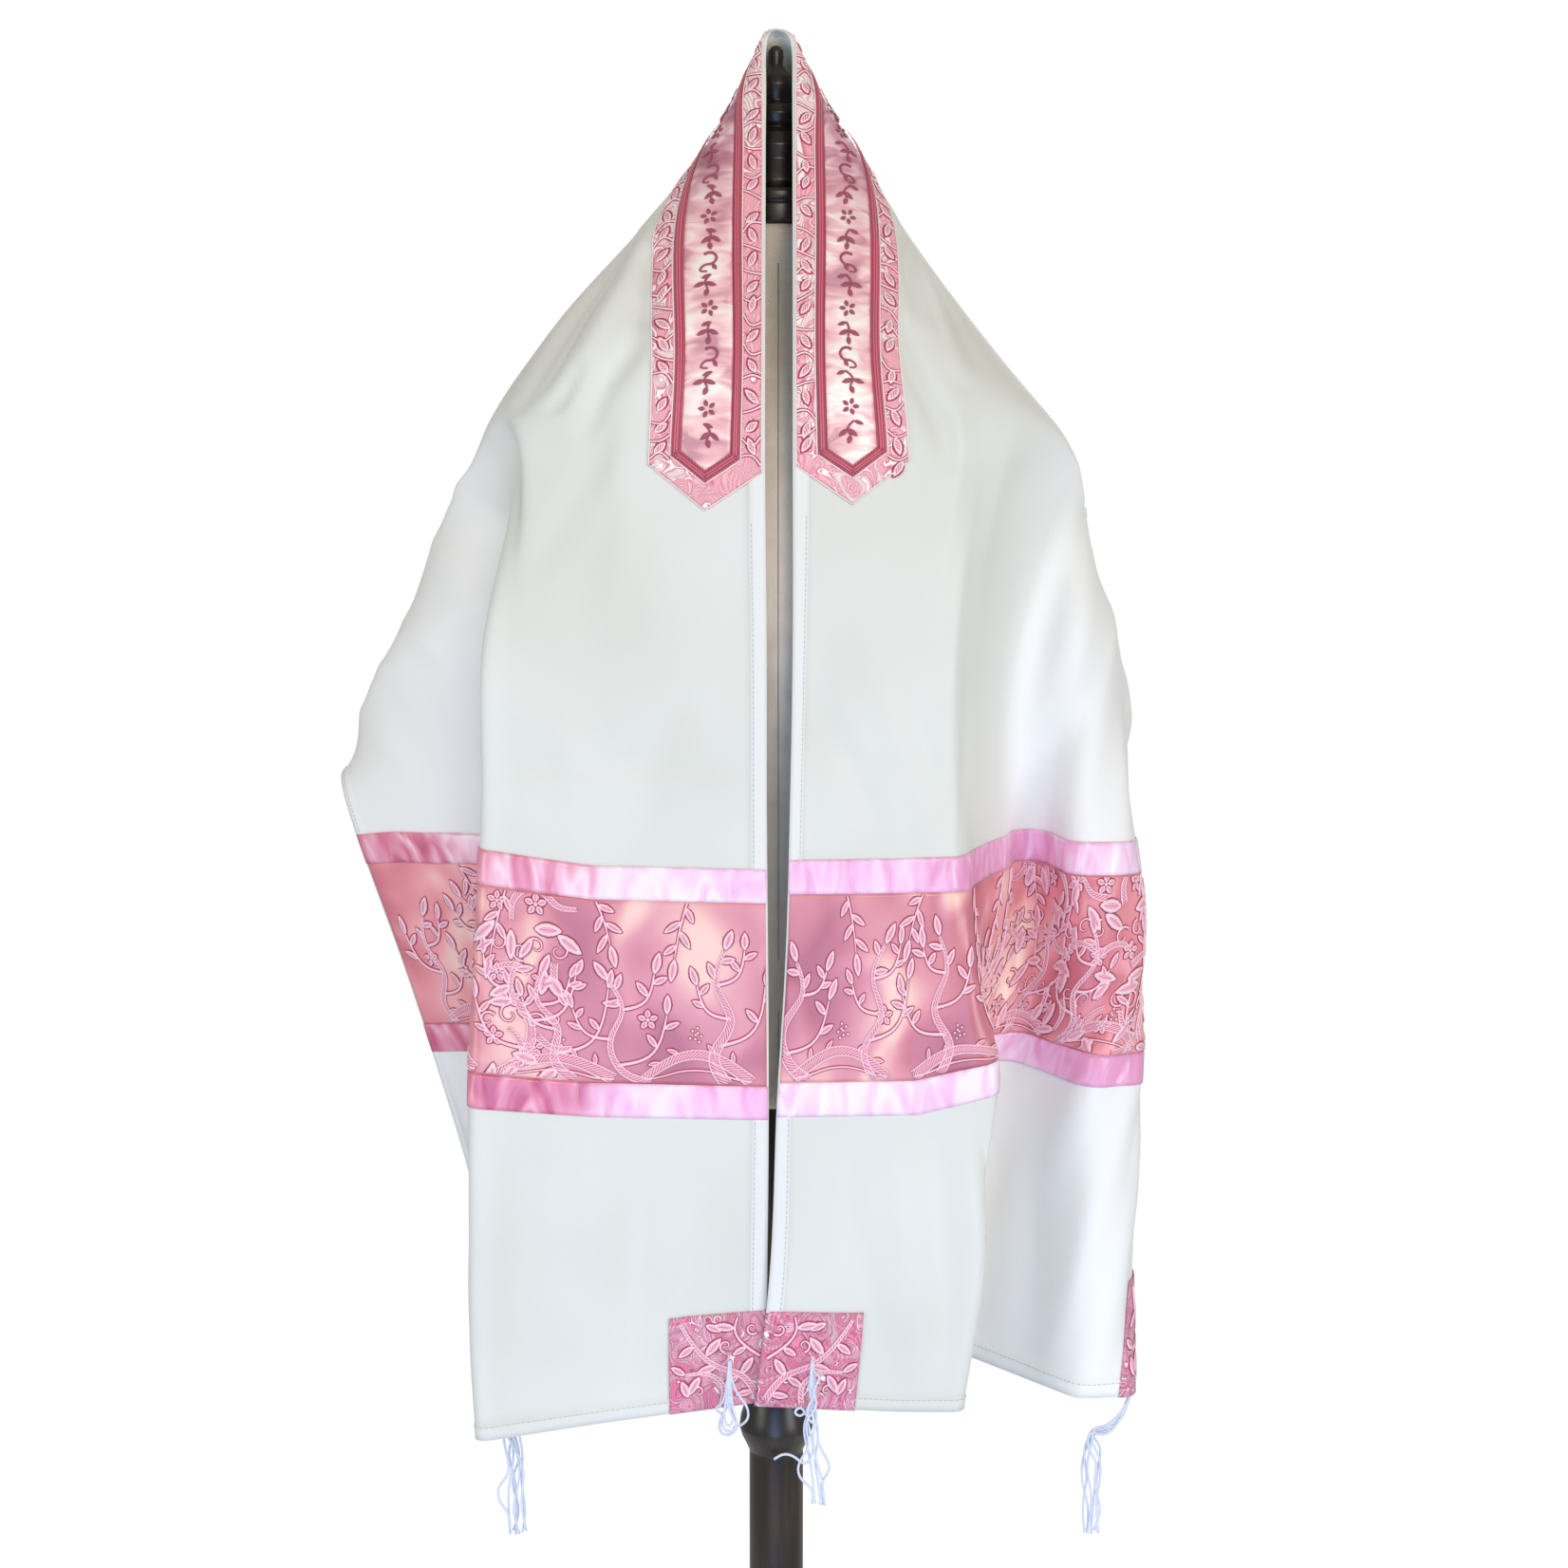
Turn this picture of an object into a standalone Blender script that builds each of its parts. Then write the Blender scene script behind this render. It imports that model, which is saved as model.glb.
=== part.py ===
"""Tallit prayer shawl draped over a limbless dress form.

Metres, +Z up, front towards -Y. The origin is on the floor, under the pole's axis.
The cloth is one rectangle. u runs along its long edge, 0 at the peak over the finial,
negative to the wearer's right (-X) and positive to +X. v runs across it, 0 at the top
edge that hangs down the front, WIDTH at the bottom edge that hangs at the back.
"""

import math

import bmesh
import bpy
import numpy as np

# ---------------------------------------------------------------- driving dimensions
LENGTH = 2.032
WIDTH = 0.610
HALF = LENGTH / 2
CLOTH_WALL = 0.0016
TRIM_WALL = 0.0010
SEAM_GAP = 0.0004
TRIM_LIFT = 0.00045

PEAK_Z = 1.598
TIP_ROUND = 0.006
EDGE_GAP = {-1: 0.007, 1: 0.012}

RIBBON_TOP = 0.632
RIBBON_WIDE = 0.024
BAND_WIDE = 0.131
CORNER_SQUARE = 0.067
# Neckband (atara): a brocade strip, a piping strip on it and a satin insert on top, each
# ending in a point: the strip's first and last v and how far down the front its point is.
ATARA_MIDDLE = 0.0425
ATARA_LAYERS = {
    "atara_band": (0.0, 0.083, 0.386, "brocade"),
    "atara_piping": (0.018, 0.067, 0.364, "piping"),
    "atara_insert": (0.026, 0.061, 0.355, "insert"),
}
POINT_SLOPE = 0.72
ATARA_CORNER = 0.350

COLLECTION = "tallit_prayer_shawl"

# The hood above the shoulders is a cone with a knee: the slope from vertical, in degrees,
# towards the front, the side and the back, above and below KNEE along the cloth.
HOOD_SLOPES = {"front": (26.7, 0.0), "side": (35.5, 24.0), "back": (29.0, 3.0)}
KNEE = 0.30
KNEE_SOFT = 0.030
# How far the cloth sags in at the sides of the hood, in millimetres, at each distance
# from the peak along the cloth.
SAG_COLUMNS = ("from_peak", "left", "right")
HOOD_SAG = (
    (0.000, 0.0, 0.0),
    (0.012, 3.5, 4.0),
    (0.035, 11.5, 11.5),
    (0.070, 18.0, 16.5),
    (0.110, 21.0, 17.0),
    (0.150, 19.5, 19.5),
    (0.190, 17.0, 25.5),
    (0.230, 13.0, 30.0),
    (0.290, 5.0, 24.0),
    (0.350, 0.0, 8.0),
    (0.400, 0.0, 0.0),
    (0.700, 0.0, 0.0),
)
FRONT_CORNER_FULLNESS = 0.13
FRONT_CORNER_AT = math.radians(60)
FRONT_CORNER_SPREAD = math.radians(26)
HOOD_STATIONS = (0.0, 0.008, 0.02, 0.045, 0.09, 0.15, 0.21, 0.27)

# Sections across the cloth below the hood: a row for each u, then a key point for each
# column as (outward, y, z) in millimetres. Straight between key points, bent round them.
COLUMNS = ("edge", "front", "fold", "tuck", "turn", "side", "round", "back", "outer")
BEND_RADIUS_MM = {
    "front": 60, "fold": 8, "tuck": 12, "turn": 16, "side": 22, "round": 22, "back": 34
}
LEFT_SECTIONS = (
    (0.360, (7, -136, 1271), (112, -122, 1279), (178, -104, 1286), (180, -84, 1289),
     (200, -52, 1282), (230, -14, 1266), (258, 26, 1226), (287, 80, 1136), (272, 132, 1000)),
    (0.480, (6, -138, 1151), (128, -136, 1156), (203, -130, 1164), (150, -84, 1172),
     (212, -50, 1166), (266, -14, 1154), (300, 20, 1130), (323, 54, 1095), (330, 92, 1040)),
    (0.576, (6, -138, 1055), (130, -138, 1058), (206, -135, 1070), (108, -80, 1074),
     (215, -48, 1066), (248, -28, 1062), (280, -10, 1057), (308, 12, 1050), (333, 32, 1040)),
    (0.720, (5, -138, 911), (130, -139, 914), (213, -139, 924), (80, -86, 928),
     (216, -42, 929), (235, -28, 926), (254, -14, 924), (272, 0, 921), (290, 13, 918)),
    (0.840, (5, -139, 791), (132, -143, 793), (217, -148, 801), (58, -92, 806),
     (198, -42, 819), (212, -32, 818), (226, -22, 817), (240, -13, 815), (254, -4, 813)),
    (0.930, (6, -140, 701), (132, -151, 696), (217, -160, 696), (28, -98, 708),
     (170, -56, 730), (184, -50, 730), (198, -45, 730), (212, -40, 731), (226, -35, 731)),
    (1.016, (7, -140, 615), (130, -161, 605), (211, -175, 600), (16, -106, 612),
     (154, -70, 640), (168, -67, 643), (182, -63, 646), (196, -60, 649), (210, -56, 652)),
)
RIGHT_SECTIONS = (
    (0.360, (12, -136, 1276), (84, -132, 1279), (128, -126, 1284), (164, -98, 1286),
     (190, -66, 1284), (214, -30, 1272), (236, 18, 1238), (256, 88, 1128), (238, 146, 990)),
    (0.480, (12, -138, 1157), (84, -138, 1160), (126, -135, 1164), (158, -84, 1165),
     (188, -40, 1164), (222, -50, 1159), (250, -18, 1146), (270, 58, 1082), (262, 122, 1010)),
    (0.600, (10, -138, 1038), (84, -138, 1039), (126, -136, 1041), (158, -78, 1044),
     (188, -24, 1044), (224, -62, 1041), (258, -48, 1038), (270, 26, 1032), (268, 98, 1028)),
    (0.720, (6, -140, 916), (92, -139, 917), (140, -136, 919), (150, -84, 923),
     (182, -24, 925), (228, -74, 921), (267, -60, 917), (273, 2, 914), (268, 66, 911)),
    (0.800, (1, -141, 834), (100, -138, 835), (158, -134, 850), (112, -92, 848),
     (176, -28, 848), (232, -80, 841), (269, -62, 839), (272, -12, 838), (265, 36, 837)),
    (0.920, (-4, -144, 712), (96, -141, 710), (150, -139, 712), (52, -94, 722),
     (156, -26, 728), (228, -92, 718), (263, -84, 716), (267, -42, 717), (258, -2, 719)),
    (1.016, (-15, -147, 614), (88, -144, 608), (135, -142, 610), (14, -94, 614),
     (140, -24, 608), (222, -100, 602), (261, -94, 602), (266, -62, 606), (254, -38, 612)),
)
SECTIONS = {-1: LEFT_SECTIONS, 1: RIGHT_SECTIONS}

# Hanging folds of the back: where each one is along the hem, its half-width, how far it
# stands out (+) or goes in (-) at the hem, and how far down the cloth it starts.
FOLD_COLUMNS = ("u", "half_width", "depth", "start_v")
BACK_FOLDS = (
    (-0.420, 0.070, -0.018, 0.32),
    (-0.325, 0.070, 0.020, 0.24),
    (-0.195, 0.075, -0.030, 0.20),
    (-0.065, 0.070, 0.016, 0.18),
    (0.060, 0.070, -0.026, 0.16),
    (0.185, 0.075, 0.020, 0.20),
    (0.310, 0.075, -0.026, 0.22),
    (0.440, 0.075, 0.014, 0.28),
)

# The form's torso: height, half-width, half-depth and the section's centre in y.
TORSO_RINGS = (
    (1.454, 0.046, 0.046, 0.000),
    (1.425, 0.050, 0.048, 0.000),
    (1.395, 0.080, 0.055, -0.003),
    (1.365, 0.120, 0.066, -0.008),
    (1.335, 0.155, 0.078, -0.013),
    (1.290, 0.172, 0.092, -0.017),
    (1.220, 0.170, 0.102, -0.018),
    (1.140, 0.154, 0.098, -0.018),
    (1.060, 0.134, 0.086, -0.009),
    (1.000, 0.130, 0.082, -0.003),
    (0.940, 0.136, 0.084, 0.001),
    (0.880, 0.142, 0.087, 0.002),
    (0.830, 0.143, 0.088, 0.002),
    (0.812, 0.137, 0.082, 0.002),
)
# Turned profiles, radius and height, from the top down.
FINIAL_PROFILE = (
    (0.000, 1.5860), (0.0035, 1.5850), (0.0055, 1.5820), (0.0058, 1.5770), (0.0050, 1.5720),
    (0.0075, 1.5680), (0.0125, 1.5630), (0.0145, 1.5570), (0.0130, 1.5500), (0.0110, 1.5455),
    (0.0175, 1.5420), (0.0215, 1.5355), (0.0190, 1.5290), (0.0160, 1.5260), (0.0250, 1.5210),
    (0.0290, 1.5120), (0.0270, 1.5020), (0.0300, 1.4930), (0.0320, 1.4860), (0.0300, 1.4800),
    (0.000, 1.4800),
)
CAP_PROFILE = (
    (0.000, 1.4795), (0.0430, 1.4795), (0.0455, 1.4770), (0.0455, 1.4720), (0.0435, 1.4700),
    (0.0455, 1.4680), (0.0455, 1.4565), (0.0440, 1.4545), (0.000, 1.4545),
)
POLE_PROFILE = (
    (0.000, 0.8115), (0.0190, 0.8115), (0.0190, 0.6200), (0.0170, 0.6050), (0.0175, 0.5800),
    (0.0225, 0.5700), (0.0245, 0.5620), (0.0275, 0.5520), (0.0285, 0.5440), (0.0265, 0.5370),
    (0.0235, 0.5310), (0.0208, 0.5250), (0.0208, 0.3100), (0.0260, 0.3020), (0.0260, 0.2900),
    (0.0200, 0.2800), (0.0200, 0.1400), (0.0240, 0.1150), (0.0320, 0.0900), (0.0380, 0.0740),
    (0.0380, 0.0653), (0.000, 0.0653),
)
BASE_PROFILE = (
    (0.000, 0.0650), (0.0700, 0.0650), (0.0760, 0.0600), (0.0800, 0.0500), (0.1200, 0.0400),
    (0.1780, 0.0340), (0.1900, 0.0270), (0.1940, 0.0160), (0.1900, 0.0040), (0.1860, 0.0000),
    (0.000, 0.0000),
)
TURNED_STEPS = 20

# Tassels at the four corners: side, the cord from the hole to the knots as (outward, y, z)
# in millimetres, then how far the strands hang below the last knot.
TASSEL_STRANDS = 8
STRAND_RADIUS = 0.0011
HEAD_RADIUS = 0.0032
TASSELS = {
    "tzitzit_front_left": (
        -1, ((34, -151, 646), (34, -160, 628), (35, -160, 614), (35, -159, 606)), 0.014
    ),
    "tzitzit_front_right": (
        1, ((26, -155, 646), (27, -165, 624), (26, -164, 600), (26, -163, 584)), 0.038
    ),
    "tzitzit_outer_left": (
        -1, ((180, -66, 667), (184, -78, 634), (191, -87, 600), (195, -90, 574)), 0.078
    ),
    "tzitzit_outer_right": (
        1, ((271, -57, 642), (272, -66, 616), (262, -77, 588), (236, -81, 565)), 0.076
    ),
}

COLOURS = {
    "cloth": ((0.84, 0.84, 0.80), 0.85),
    "pink_ribbon": ((0.90, 0.40, 0.58), 0.35),
    "rose_satin": ((0.62, 0.25, 0.33), 0.45),
    "brocade": ((0.80, 0.34, 0.42), 0.60),
    "piping": ((0.45, 0.10, 0.16), 0.50),
    "insert": ((0.86, 0.52, 0.64), 0.35),
    "cord": ((0.85, 0.87, 0.92), 0.70),
    "linen": ((0.62, 0.58, 0.50), 0.90),
    "dark_wood": ((0.035, 0.024, 0.018), 0.35),
}


# ---------------------------------------------------------------- the draped surface
def smooth_step(x):
    x = np.clip(x, 0.0, 1.0)
    return x * x * (3.0 - 2.0 * x)


def hood_section(side, u, vs):
    """Points of the hood at one u: a rounded cone that bends at the shoulders."""
    rho = np.hypot(u, vs)
    phi = 2.0 * np.arctan2(vs, u)
    to_front = np.clip(np.cos(phi), 0.0, 1.0) ** 2
    to_back = np.clip(-np.cos(phi), 0.0, 1.0) ** 2
    weight = {"front": to_front, "back": to_back, "side": 1.0 - to_front - to_back}
    past_knee = KNEE_SOFT * np.logaddexp(0.0, (rho - KNEE) / KNEE_SOFT)
    reach = np.zeros_like(rho)
    drop = np.zeros_like(rho)
    for way, (above, below) in HOOD_SLOPES.items():
        above, below = math.radians(above), math.radians(below)
        along = np.sqrt(rho ** 2 + TIP_ROUND ** 2) - TIP_ROUND
        out = rho * math.sin(above) + (1 - math.sin(above)) * TIP_ROUND * np.tanh(rho / TIP_ROUND)
        reach += weight[way] * (out + (math.sin(below) - math.sin(above)) * past_knee)
        drop += weight[way] * (along * math.cos(above) + (math.cos(below) - math.cos(above)) * past_knee)
    sag_table = np.array(HOOD_SAG)
    sag = np.interp(rho, sag_table[:, 0], sag_table[:, 1 if side < 0 else 2] / 1000.0)
    reach = reach - sag * np.sin(phi) ** 2
    fullness = np.exp(-(((phi - FRONT_CORNER_AT) / FRONT_CORNER_SPREAD) ** 2))
    reach = reach * (1.0 + FRONT_CORNER_FULLNESS * fullness * smooth_step(rho / 0.26))
    gap = EDGE_GAP[side] * math.tanh(u / 0.012) * (1 + np.cos(phi)) / 2
    return np.stack([side * (reach * np.sin(phi) + gap), -reach * np.cos(phi), PEAK_Z - drop], axis=1)


def bend_of(before, here, after, radius):
    """Centre, turning sense and radius of the bend at one key point, in plan."""
    back, on = before - here, after - here
    inward = back / np.linalg.norm(back) + on / np.linalg.norm(on)
    size = np.linalg.norm(inward)
    if size < 0.02:
        return here, 1.0, 0.0
    sense = 1.0 if back[1] * on[0] - back[0] * on[1] > 0 else -1.0
    return here + inward / size * radius, sense, radius


def plan_track(plan, radii):
    """A path in plan through key points: straight runs tangent to a bend at each one.

    Returns its points and, for each key point, which of them it is."""
    bends = [(plan[0], 1.0, 0.0)]
    for k in range(1, len(plan) - 1):
        shortest = min(np.linalg.norm(plan[k] - plan[k - 1]), np.linalg.norm(plan[k + 1] - plan[k]))
        bends.append(bend_of(plan[k - 1], plan[k], plan[k + 1], min(radii[k - 1], 0.42 * shortest)))
    bends.append((plan[-1], 1.0, 0.0))
    headings = []
    for (c1, s1, r1), (c2, s2, r2) in zip(bends, bends[1:]):
        way = c2 - c1
        tilt = math.asin(np.clip((s2 * r2 - s1 * r1) / np.linalg.norm(way), -0.95, 0.95))
        headings.append(math.atan2(way[1], way[0]) - tilt)
    points, middles = [plan[0]], [0]
    for k in range(1, len(plan) - 1):
        centre, sense, radius = bends[k]
        turn = (sense * (headings[k] - headings[k - 1]) + math.pi / 2) % (2 * math.pi) - math.pi / 2
        for share in np.linspace(0.0, 1.0, 9):
            heading = headings[k - 1] + sense * max(turn, 0.0) * share
            left = np.array((-math.sin(heading), math.cos(heading)))
            points.append(centre - sense * radius * left)
        middles.append(len(points) - 5)
    return np.array(points + [plan[-1]]), middles + [len(points)]


def hung_section(side, row, vs):
    """Points of one section row, spaced evenly along the cloth from edge to edge."""
    keys = np.array(row[1:], float) / 1000.0
    radii = [BEND_RADIUS_MM[name] / 1000.0 for name in COLUMNS[1:-1]]
    plan, middles = plan_track(keys[:, :2], radii)
    steps = np.linalg.norm(np.diff(plan, axis=0), axis=1)
    far = np.concatenate([[0.0], np.cumsum(steps)])
    heights = np.interp(far, far[middles], keys[:, 2])
    track = np.column_stack([side * plan[:, 0], plan[:, 1], heights])
    run = np.concatenate([[0.0], np.cumsum(np.linalg.norm(np.diff(track, axis=0), axis=1))])
    at = vs / WIDTH * run[-1]
    return np.stack([np.interp(at, run, track[:, axis]) for axis in range(3)], axis=1)


def spline_through(stations, values, at):
    """Natural cubic spline through values (station first), read at the places `at`."""
    n = len(stations)
    step = np.diff(stations)
    matrix, right = np.eye(n), np.zeros((n,) + values.shape[1:])
    slope = np.diff(values, axis=0) / step.reshape((-1,) + (1,) * (values.ndim - 1))
    for i in range(1, n - 1):
        matrix[i, i - 1 : i + 2] = step[i - 1], 2 * (step[i - 1] + step[i]), step[i]
        right[i] = 6 * (slope[i] - slope[i - 1])
    bend = np.linalg.solve(matrix, right.reshape(n, -1)).reshape(right.shape)
    cell = np.clip(np.searchsorted(stations, at, side="right") - 1, 0, n - 2)
    shape = (-1,) + (1,) * (values.ndim - 1)
    h = step[cell].reshape(shape)
    a = ((stations[cell + 1] - at).reshape(shape)) / h
    b = 1.0 - a
    curve = (a ** 3 - a) * bend[cell] + (b ** 3 - b) * bend[cell + 1]
    return a * values[cell] + b * values[cell + 1] + curve * h * h / 6.0


def grid_normals(points):
    """Outward unit normals of a grid of surface points, u first and v second."""
    across = np.cross(np.gradient(points, axis=0), np.gradient(points, axis=1))
    return across / np.maximum(np.linalg.norm(across, axis=2, keepdims=True), 1e-12)


def draped(us, vs):
    """Outer surface of the cloth at every u and v: shape (len(us), len(vs), 3)."""
    us, vs = np.asarray(us, float), np.asarray(vs, float)
    stations, rows = [], []
    for side in (-1, 1):
        for u in HOOD_STATIONS[0 if side < 0 else 1 :]:
            stations.append(side * u)
            rows.append(hood_section(side, u, vs))
        for row in SECTIONS[side]:
            stations.append(side * row[0])
            rows.append(hung_section(side, row, vs))
    order = np.argsort(stations)
    points = spline_through(np.array(stations)[order], np.array(rows)[order], us)
    push = np.zeros((len(us), len(vs)))
    for fold in BACK_FOLDS:
        row = dict(zip(FOLD_COLUMNS, fold))
        along = np.clip((us - row["u"]) / row["half_width"], -1.0, 1.0)
        down = smooth_step((vs - row["start_v"]) / (WIDTH - row["start_v"]))
        push += row["depth"] * np.outer(np.cos(along * math.pi / 2) ** 2, down)
    return points + push[:, :, None] * grid_normals(points)


def mitre(points, axis):
    """How much further a bent corner must move for its flat sides to move out by one."""
    way = np.diff(points, axis=axis)
    way /= np.maximum(np.linalg.norm(way, axis=2, keepdims=True), 1e-12)
    way = np.moveaxis(way, axis, 0)
    bend = np.ones(np.moveaxis(points, axis, 0).shape[:2])
    bend[1:-1] = (way[:-1] * way[1:]).sum(axis=2)
    half = np.sqrt(np.clip((1 + bend) / 2, 0.2, 1.0))
    return np.moveaxis(1.0 / half, 0, axis)[:, :, None]


def filled(stops, most):
    """Grid lines through every stop, with no step longer than `most`."""
    lines = [stops[0]]
    for a, b in zip(stops, stops[1:]):
        pieces = max(1, math.ceil((b - a) / most - 1e-6))
        lines += [a + (b - a) * k / pieces for k in range(1, pieces + 1)]
    return np.array(lines)


RIBBON_1 = (RIBBON_TOP, RIBBON_TOP + RIBBON_WIDE)
BAND = (RIBBON_1[1], RIBBON_1[1] + BAND_WIDE)
RIBBON_2 = (BAND[1], BAND[1] + RIBBON_WIDE)
SQUARE_U = (HALF - CORNER_SQUARE, HALF)
ATARA_END = ATARA_LAYERS["atara_band"][2]
SIDE_STOPS = (
    0.0, 0.012, 0.036, 0.072, ATARA_CORNER, ATARA_END, 0.52, *RIBBON_1, *RIBBON_2, *SQUARE_U
)
U_SIDE = np.unique(
    np.concatenate([filled(SIDE_STOPS[:8], 0.044), filled(SIDE_STOPS[7:], 0.056)]).round(6)
)
U_LINES = np.concatenate([-U_SIDE[:0:-1], U_SIDE])
ATARA_V = (0.0, 0.009, 0.018, 0.026, ATARA_MIDDLE, 0.061, 0.067, 0.083)
FOLDED_V = (0.170, 0.466)
V_LINES = np.unique(
    np.concatenate([
        filled((*ATARA_V, FOLDED_V[0]), 0.0225),
        filled(FOLDED_V, 0.0150),
        filled((FOLDED_V[1], WIDTH - CORNER_SQUARE, WIDTH), 0.0245),
    ]).round(6)
)


# ---------------------------------------------------------------- making objects
def material(name):
    made = bpy.data.materials.get(name)
    if made is None:
        colour, roughness = COLOURS[name]
        made = bpy.data.materials.new(name)
        made.use_nodes = True
        shader = made.node_tree.nodes["Principled BSDF"]
        shader.inputs["Base Color"].default_value = (*colour, 1.0)
        shader.inputs["Roughness"].default_value = roughness
        made.diffuse_color = (*colour, 1.0)
    return made


def add_object(name, mesh, slot, collection):
    obj = bpy.data.objects.new(name, mesh)
    collection.objects.link(obj)
    own = material(slot).copy()
    own.name = name + "_" + slot
    mesh.materials.append(own)
    mesh.shade_smooth()
    return obj


def sheet(name, points, slot, collection, wall, offset):
    """A cloth layer: a grid of points, each cell split the same way, thickened by Solidify."""
    rows, columns = points.shape[:2]
    faces = []
    for i in range(rows - 1):
        for j in range(columns - 1):
            a, b = i * columns + j, i * columns + j + 1
            c, d = a + columns, b + columns
            faces += [(a, c, d), (a, d, b)]
    mesh = bpy.data.meshes.new(name)
    mesh.from_pydata([tuple(p) for p in points.reshape(-1, 3)], [], faces)
    mesh.validate()
    obj = add_object(name, mesh, slot, collection)
    thick = obj.modifiers.new("wall", "SOLIDIFY")
    thick.thickness = wall
    thick.offset = offset
    thick.use_rim = True
    return obj


def layer_points(points, normals, u_range, v_range):
    """The part of the cloth's own grid inside the ranges, moved out, its edges drawn in."""
    keep_u = (U_LINES > u_range[0] - 1e-6) & (U_LINES < u_range[1] + 1e-6)
    keep_v = (V_LINES > v_range[0] - 1e-6) & (V_LINES < v_range[1] + 1e-6)
    reach = TRIM_LIFT * np.maximum(mitre(points, 0), mitre(points, 1))
    part = (points + normals * reach)[np.ix_(keep_u, keep_v)]
    for axis in (0, 1):
        part = np.swapaxes(part, 0, axis)
        for end, near in ((0, 1), (-1, -2)):
            way = part[near] - part[end]
            part[end] += way / np.linalg.norm(way, axis=1, keepdims=True) * SEAM_GAP / 2
        part = np.swapaxes(part, 0, axis)
    return part


def neckband_strip(points, normals, v_range, tip, level):
    """A strip of the neckband over the peak, lying on the cloth, with a point at each end."""
    lift = TRIM_LIFT + level * (TRIM_WALL + TRIM_LIFT)
    lifted = points + normals * lift * np.maximum(mitre(points, 0), mitre(points, 1))
    keep_v = (V_LINES > v_range[0] - 1e-6) & (V_LINES < v_range[1] + 1e-6)
    lifted, vs = lifted[:, keep_v], V_LINES[keep_v]
    ends = tip - POINT_SLOPE * np.abs(vs - ATARA_MIDDLE)
    straight = U_SIDE[U_SIDE < ends.min()].max()
    rows = lifted[np.abs(U_LINES) < straight + 1e-6]
    for share in (1 / 3, 2 / 3, 1.0):
        point = straight + share * (ends - straight)
        before, after = np.empty_like(rows[0]), np.empty_like(rows[0])
        for j, u in enumerate(point):
            for axis in range(3):
                before[j, axis] = np.interp(-u, U_LINES, lifted[:, j, axis])
                after[j, axis] = np.interp(u, U_LINES, lifted[:, j, axis])
        rows = np.concatenate([before[None], rows, after[None]])
    return rows


def turned(name, profile, slot, collection):
    """A turned piece: a profile from the top down, spun round the pole's axis by Screw."""
    mesh = bpy.data.meshes.new(name)
    verts = [(radius, 0.0, z) for radius, z in profile]
    mesh.from_pydata(verts, [(k, k + 1) for k in range(len(verts) - 1)], [])
    obj = add_object(name, mesh, slot, collection)
    spin = obj.modifiers.new("turn", "SCREW")
    spin.axis = "Z"
    spin.steps = TURNED_STEPS
    spin.render_steps = TURNED_STEPS
    spin.use_merge_vertices = True
    spin.merge_threshold = 0.00001
    return obj


def torso(collection):
    """The padded linen torso: elliptical rings skinned together and capped."""
    around = 24
    bm = bmesh.new()
    rings = []
    for z, half_width, half_depth, centre in TORSO_RINGS:
        ring = []
        for k in range(around):
            angle = 2 * math.pi * k / around
            x = half_width * math.cos(angle)
            y = centre + half_depth * math.sin(angle)
            ring.append(bm.verts.new((x, y, z)))
        rings.append(ring)
    for upper, lower in zip(rings, rings[1:]):
        for k in range(around):
            n = (k + 1) % around
            bm.faces.new((upper[k], lower[k], lower[n], upper[n]))
    bm.faces.new(rings[0])
    bm.faces.new(list(reversed(rings[-1])))
    mesh = bpy.data.meshes.new("form_torso")
    bmesh.ops.recalc_face_normals(bm, faces=bm.faces)
    bm.to_mesh(mesh)
    bm.free()
    return add_object("form_torso", mesh, "linen", collection)


def tube(bm, track, radius, sides):
    """One closed tube of few sides along a short track."""
    rings = []
    for i, here in enumerate(track):
        way = track[min(i + 1, len(track) - 1)] - track[max(i - 1, 0)]
        way /= np.linalg.norm(way)
        across = np.cross(way, (0.0, 1.0, 0.0))
        across /= np.linalg.norm(across)
        over = np.cross(way, across)
        ring = []
        for k in range(sides):
            angle = 2 * math.pi * k / sides
            place = here + radius * (math.cos(angle) * across + math.sin(angle) * over)
            ring.append(bm.verts.new(tuple(place)))
        rings.append(ring)
    for a, b in zip(rings, rings[1:]):
        for k in range(sides):
            n = (k + 1) % sides
            bm.faces.new((a[k], a[n], b[n], b[k]))
    bm.faces.new(rings[0])
    bm.faces.new(list(reversed(rings[-1])))


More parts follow.
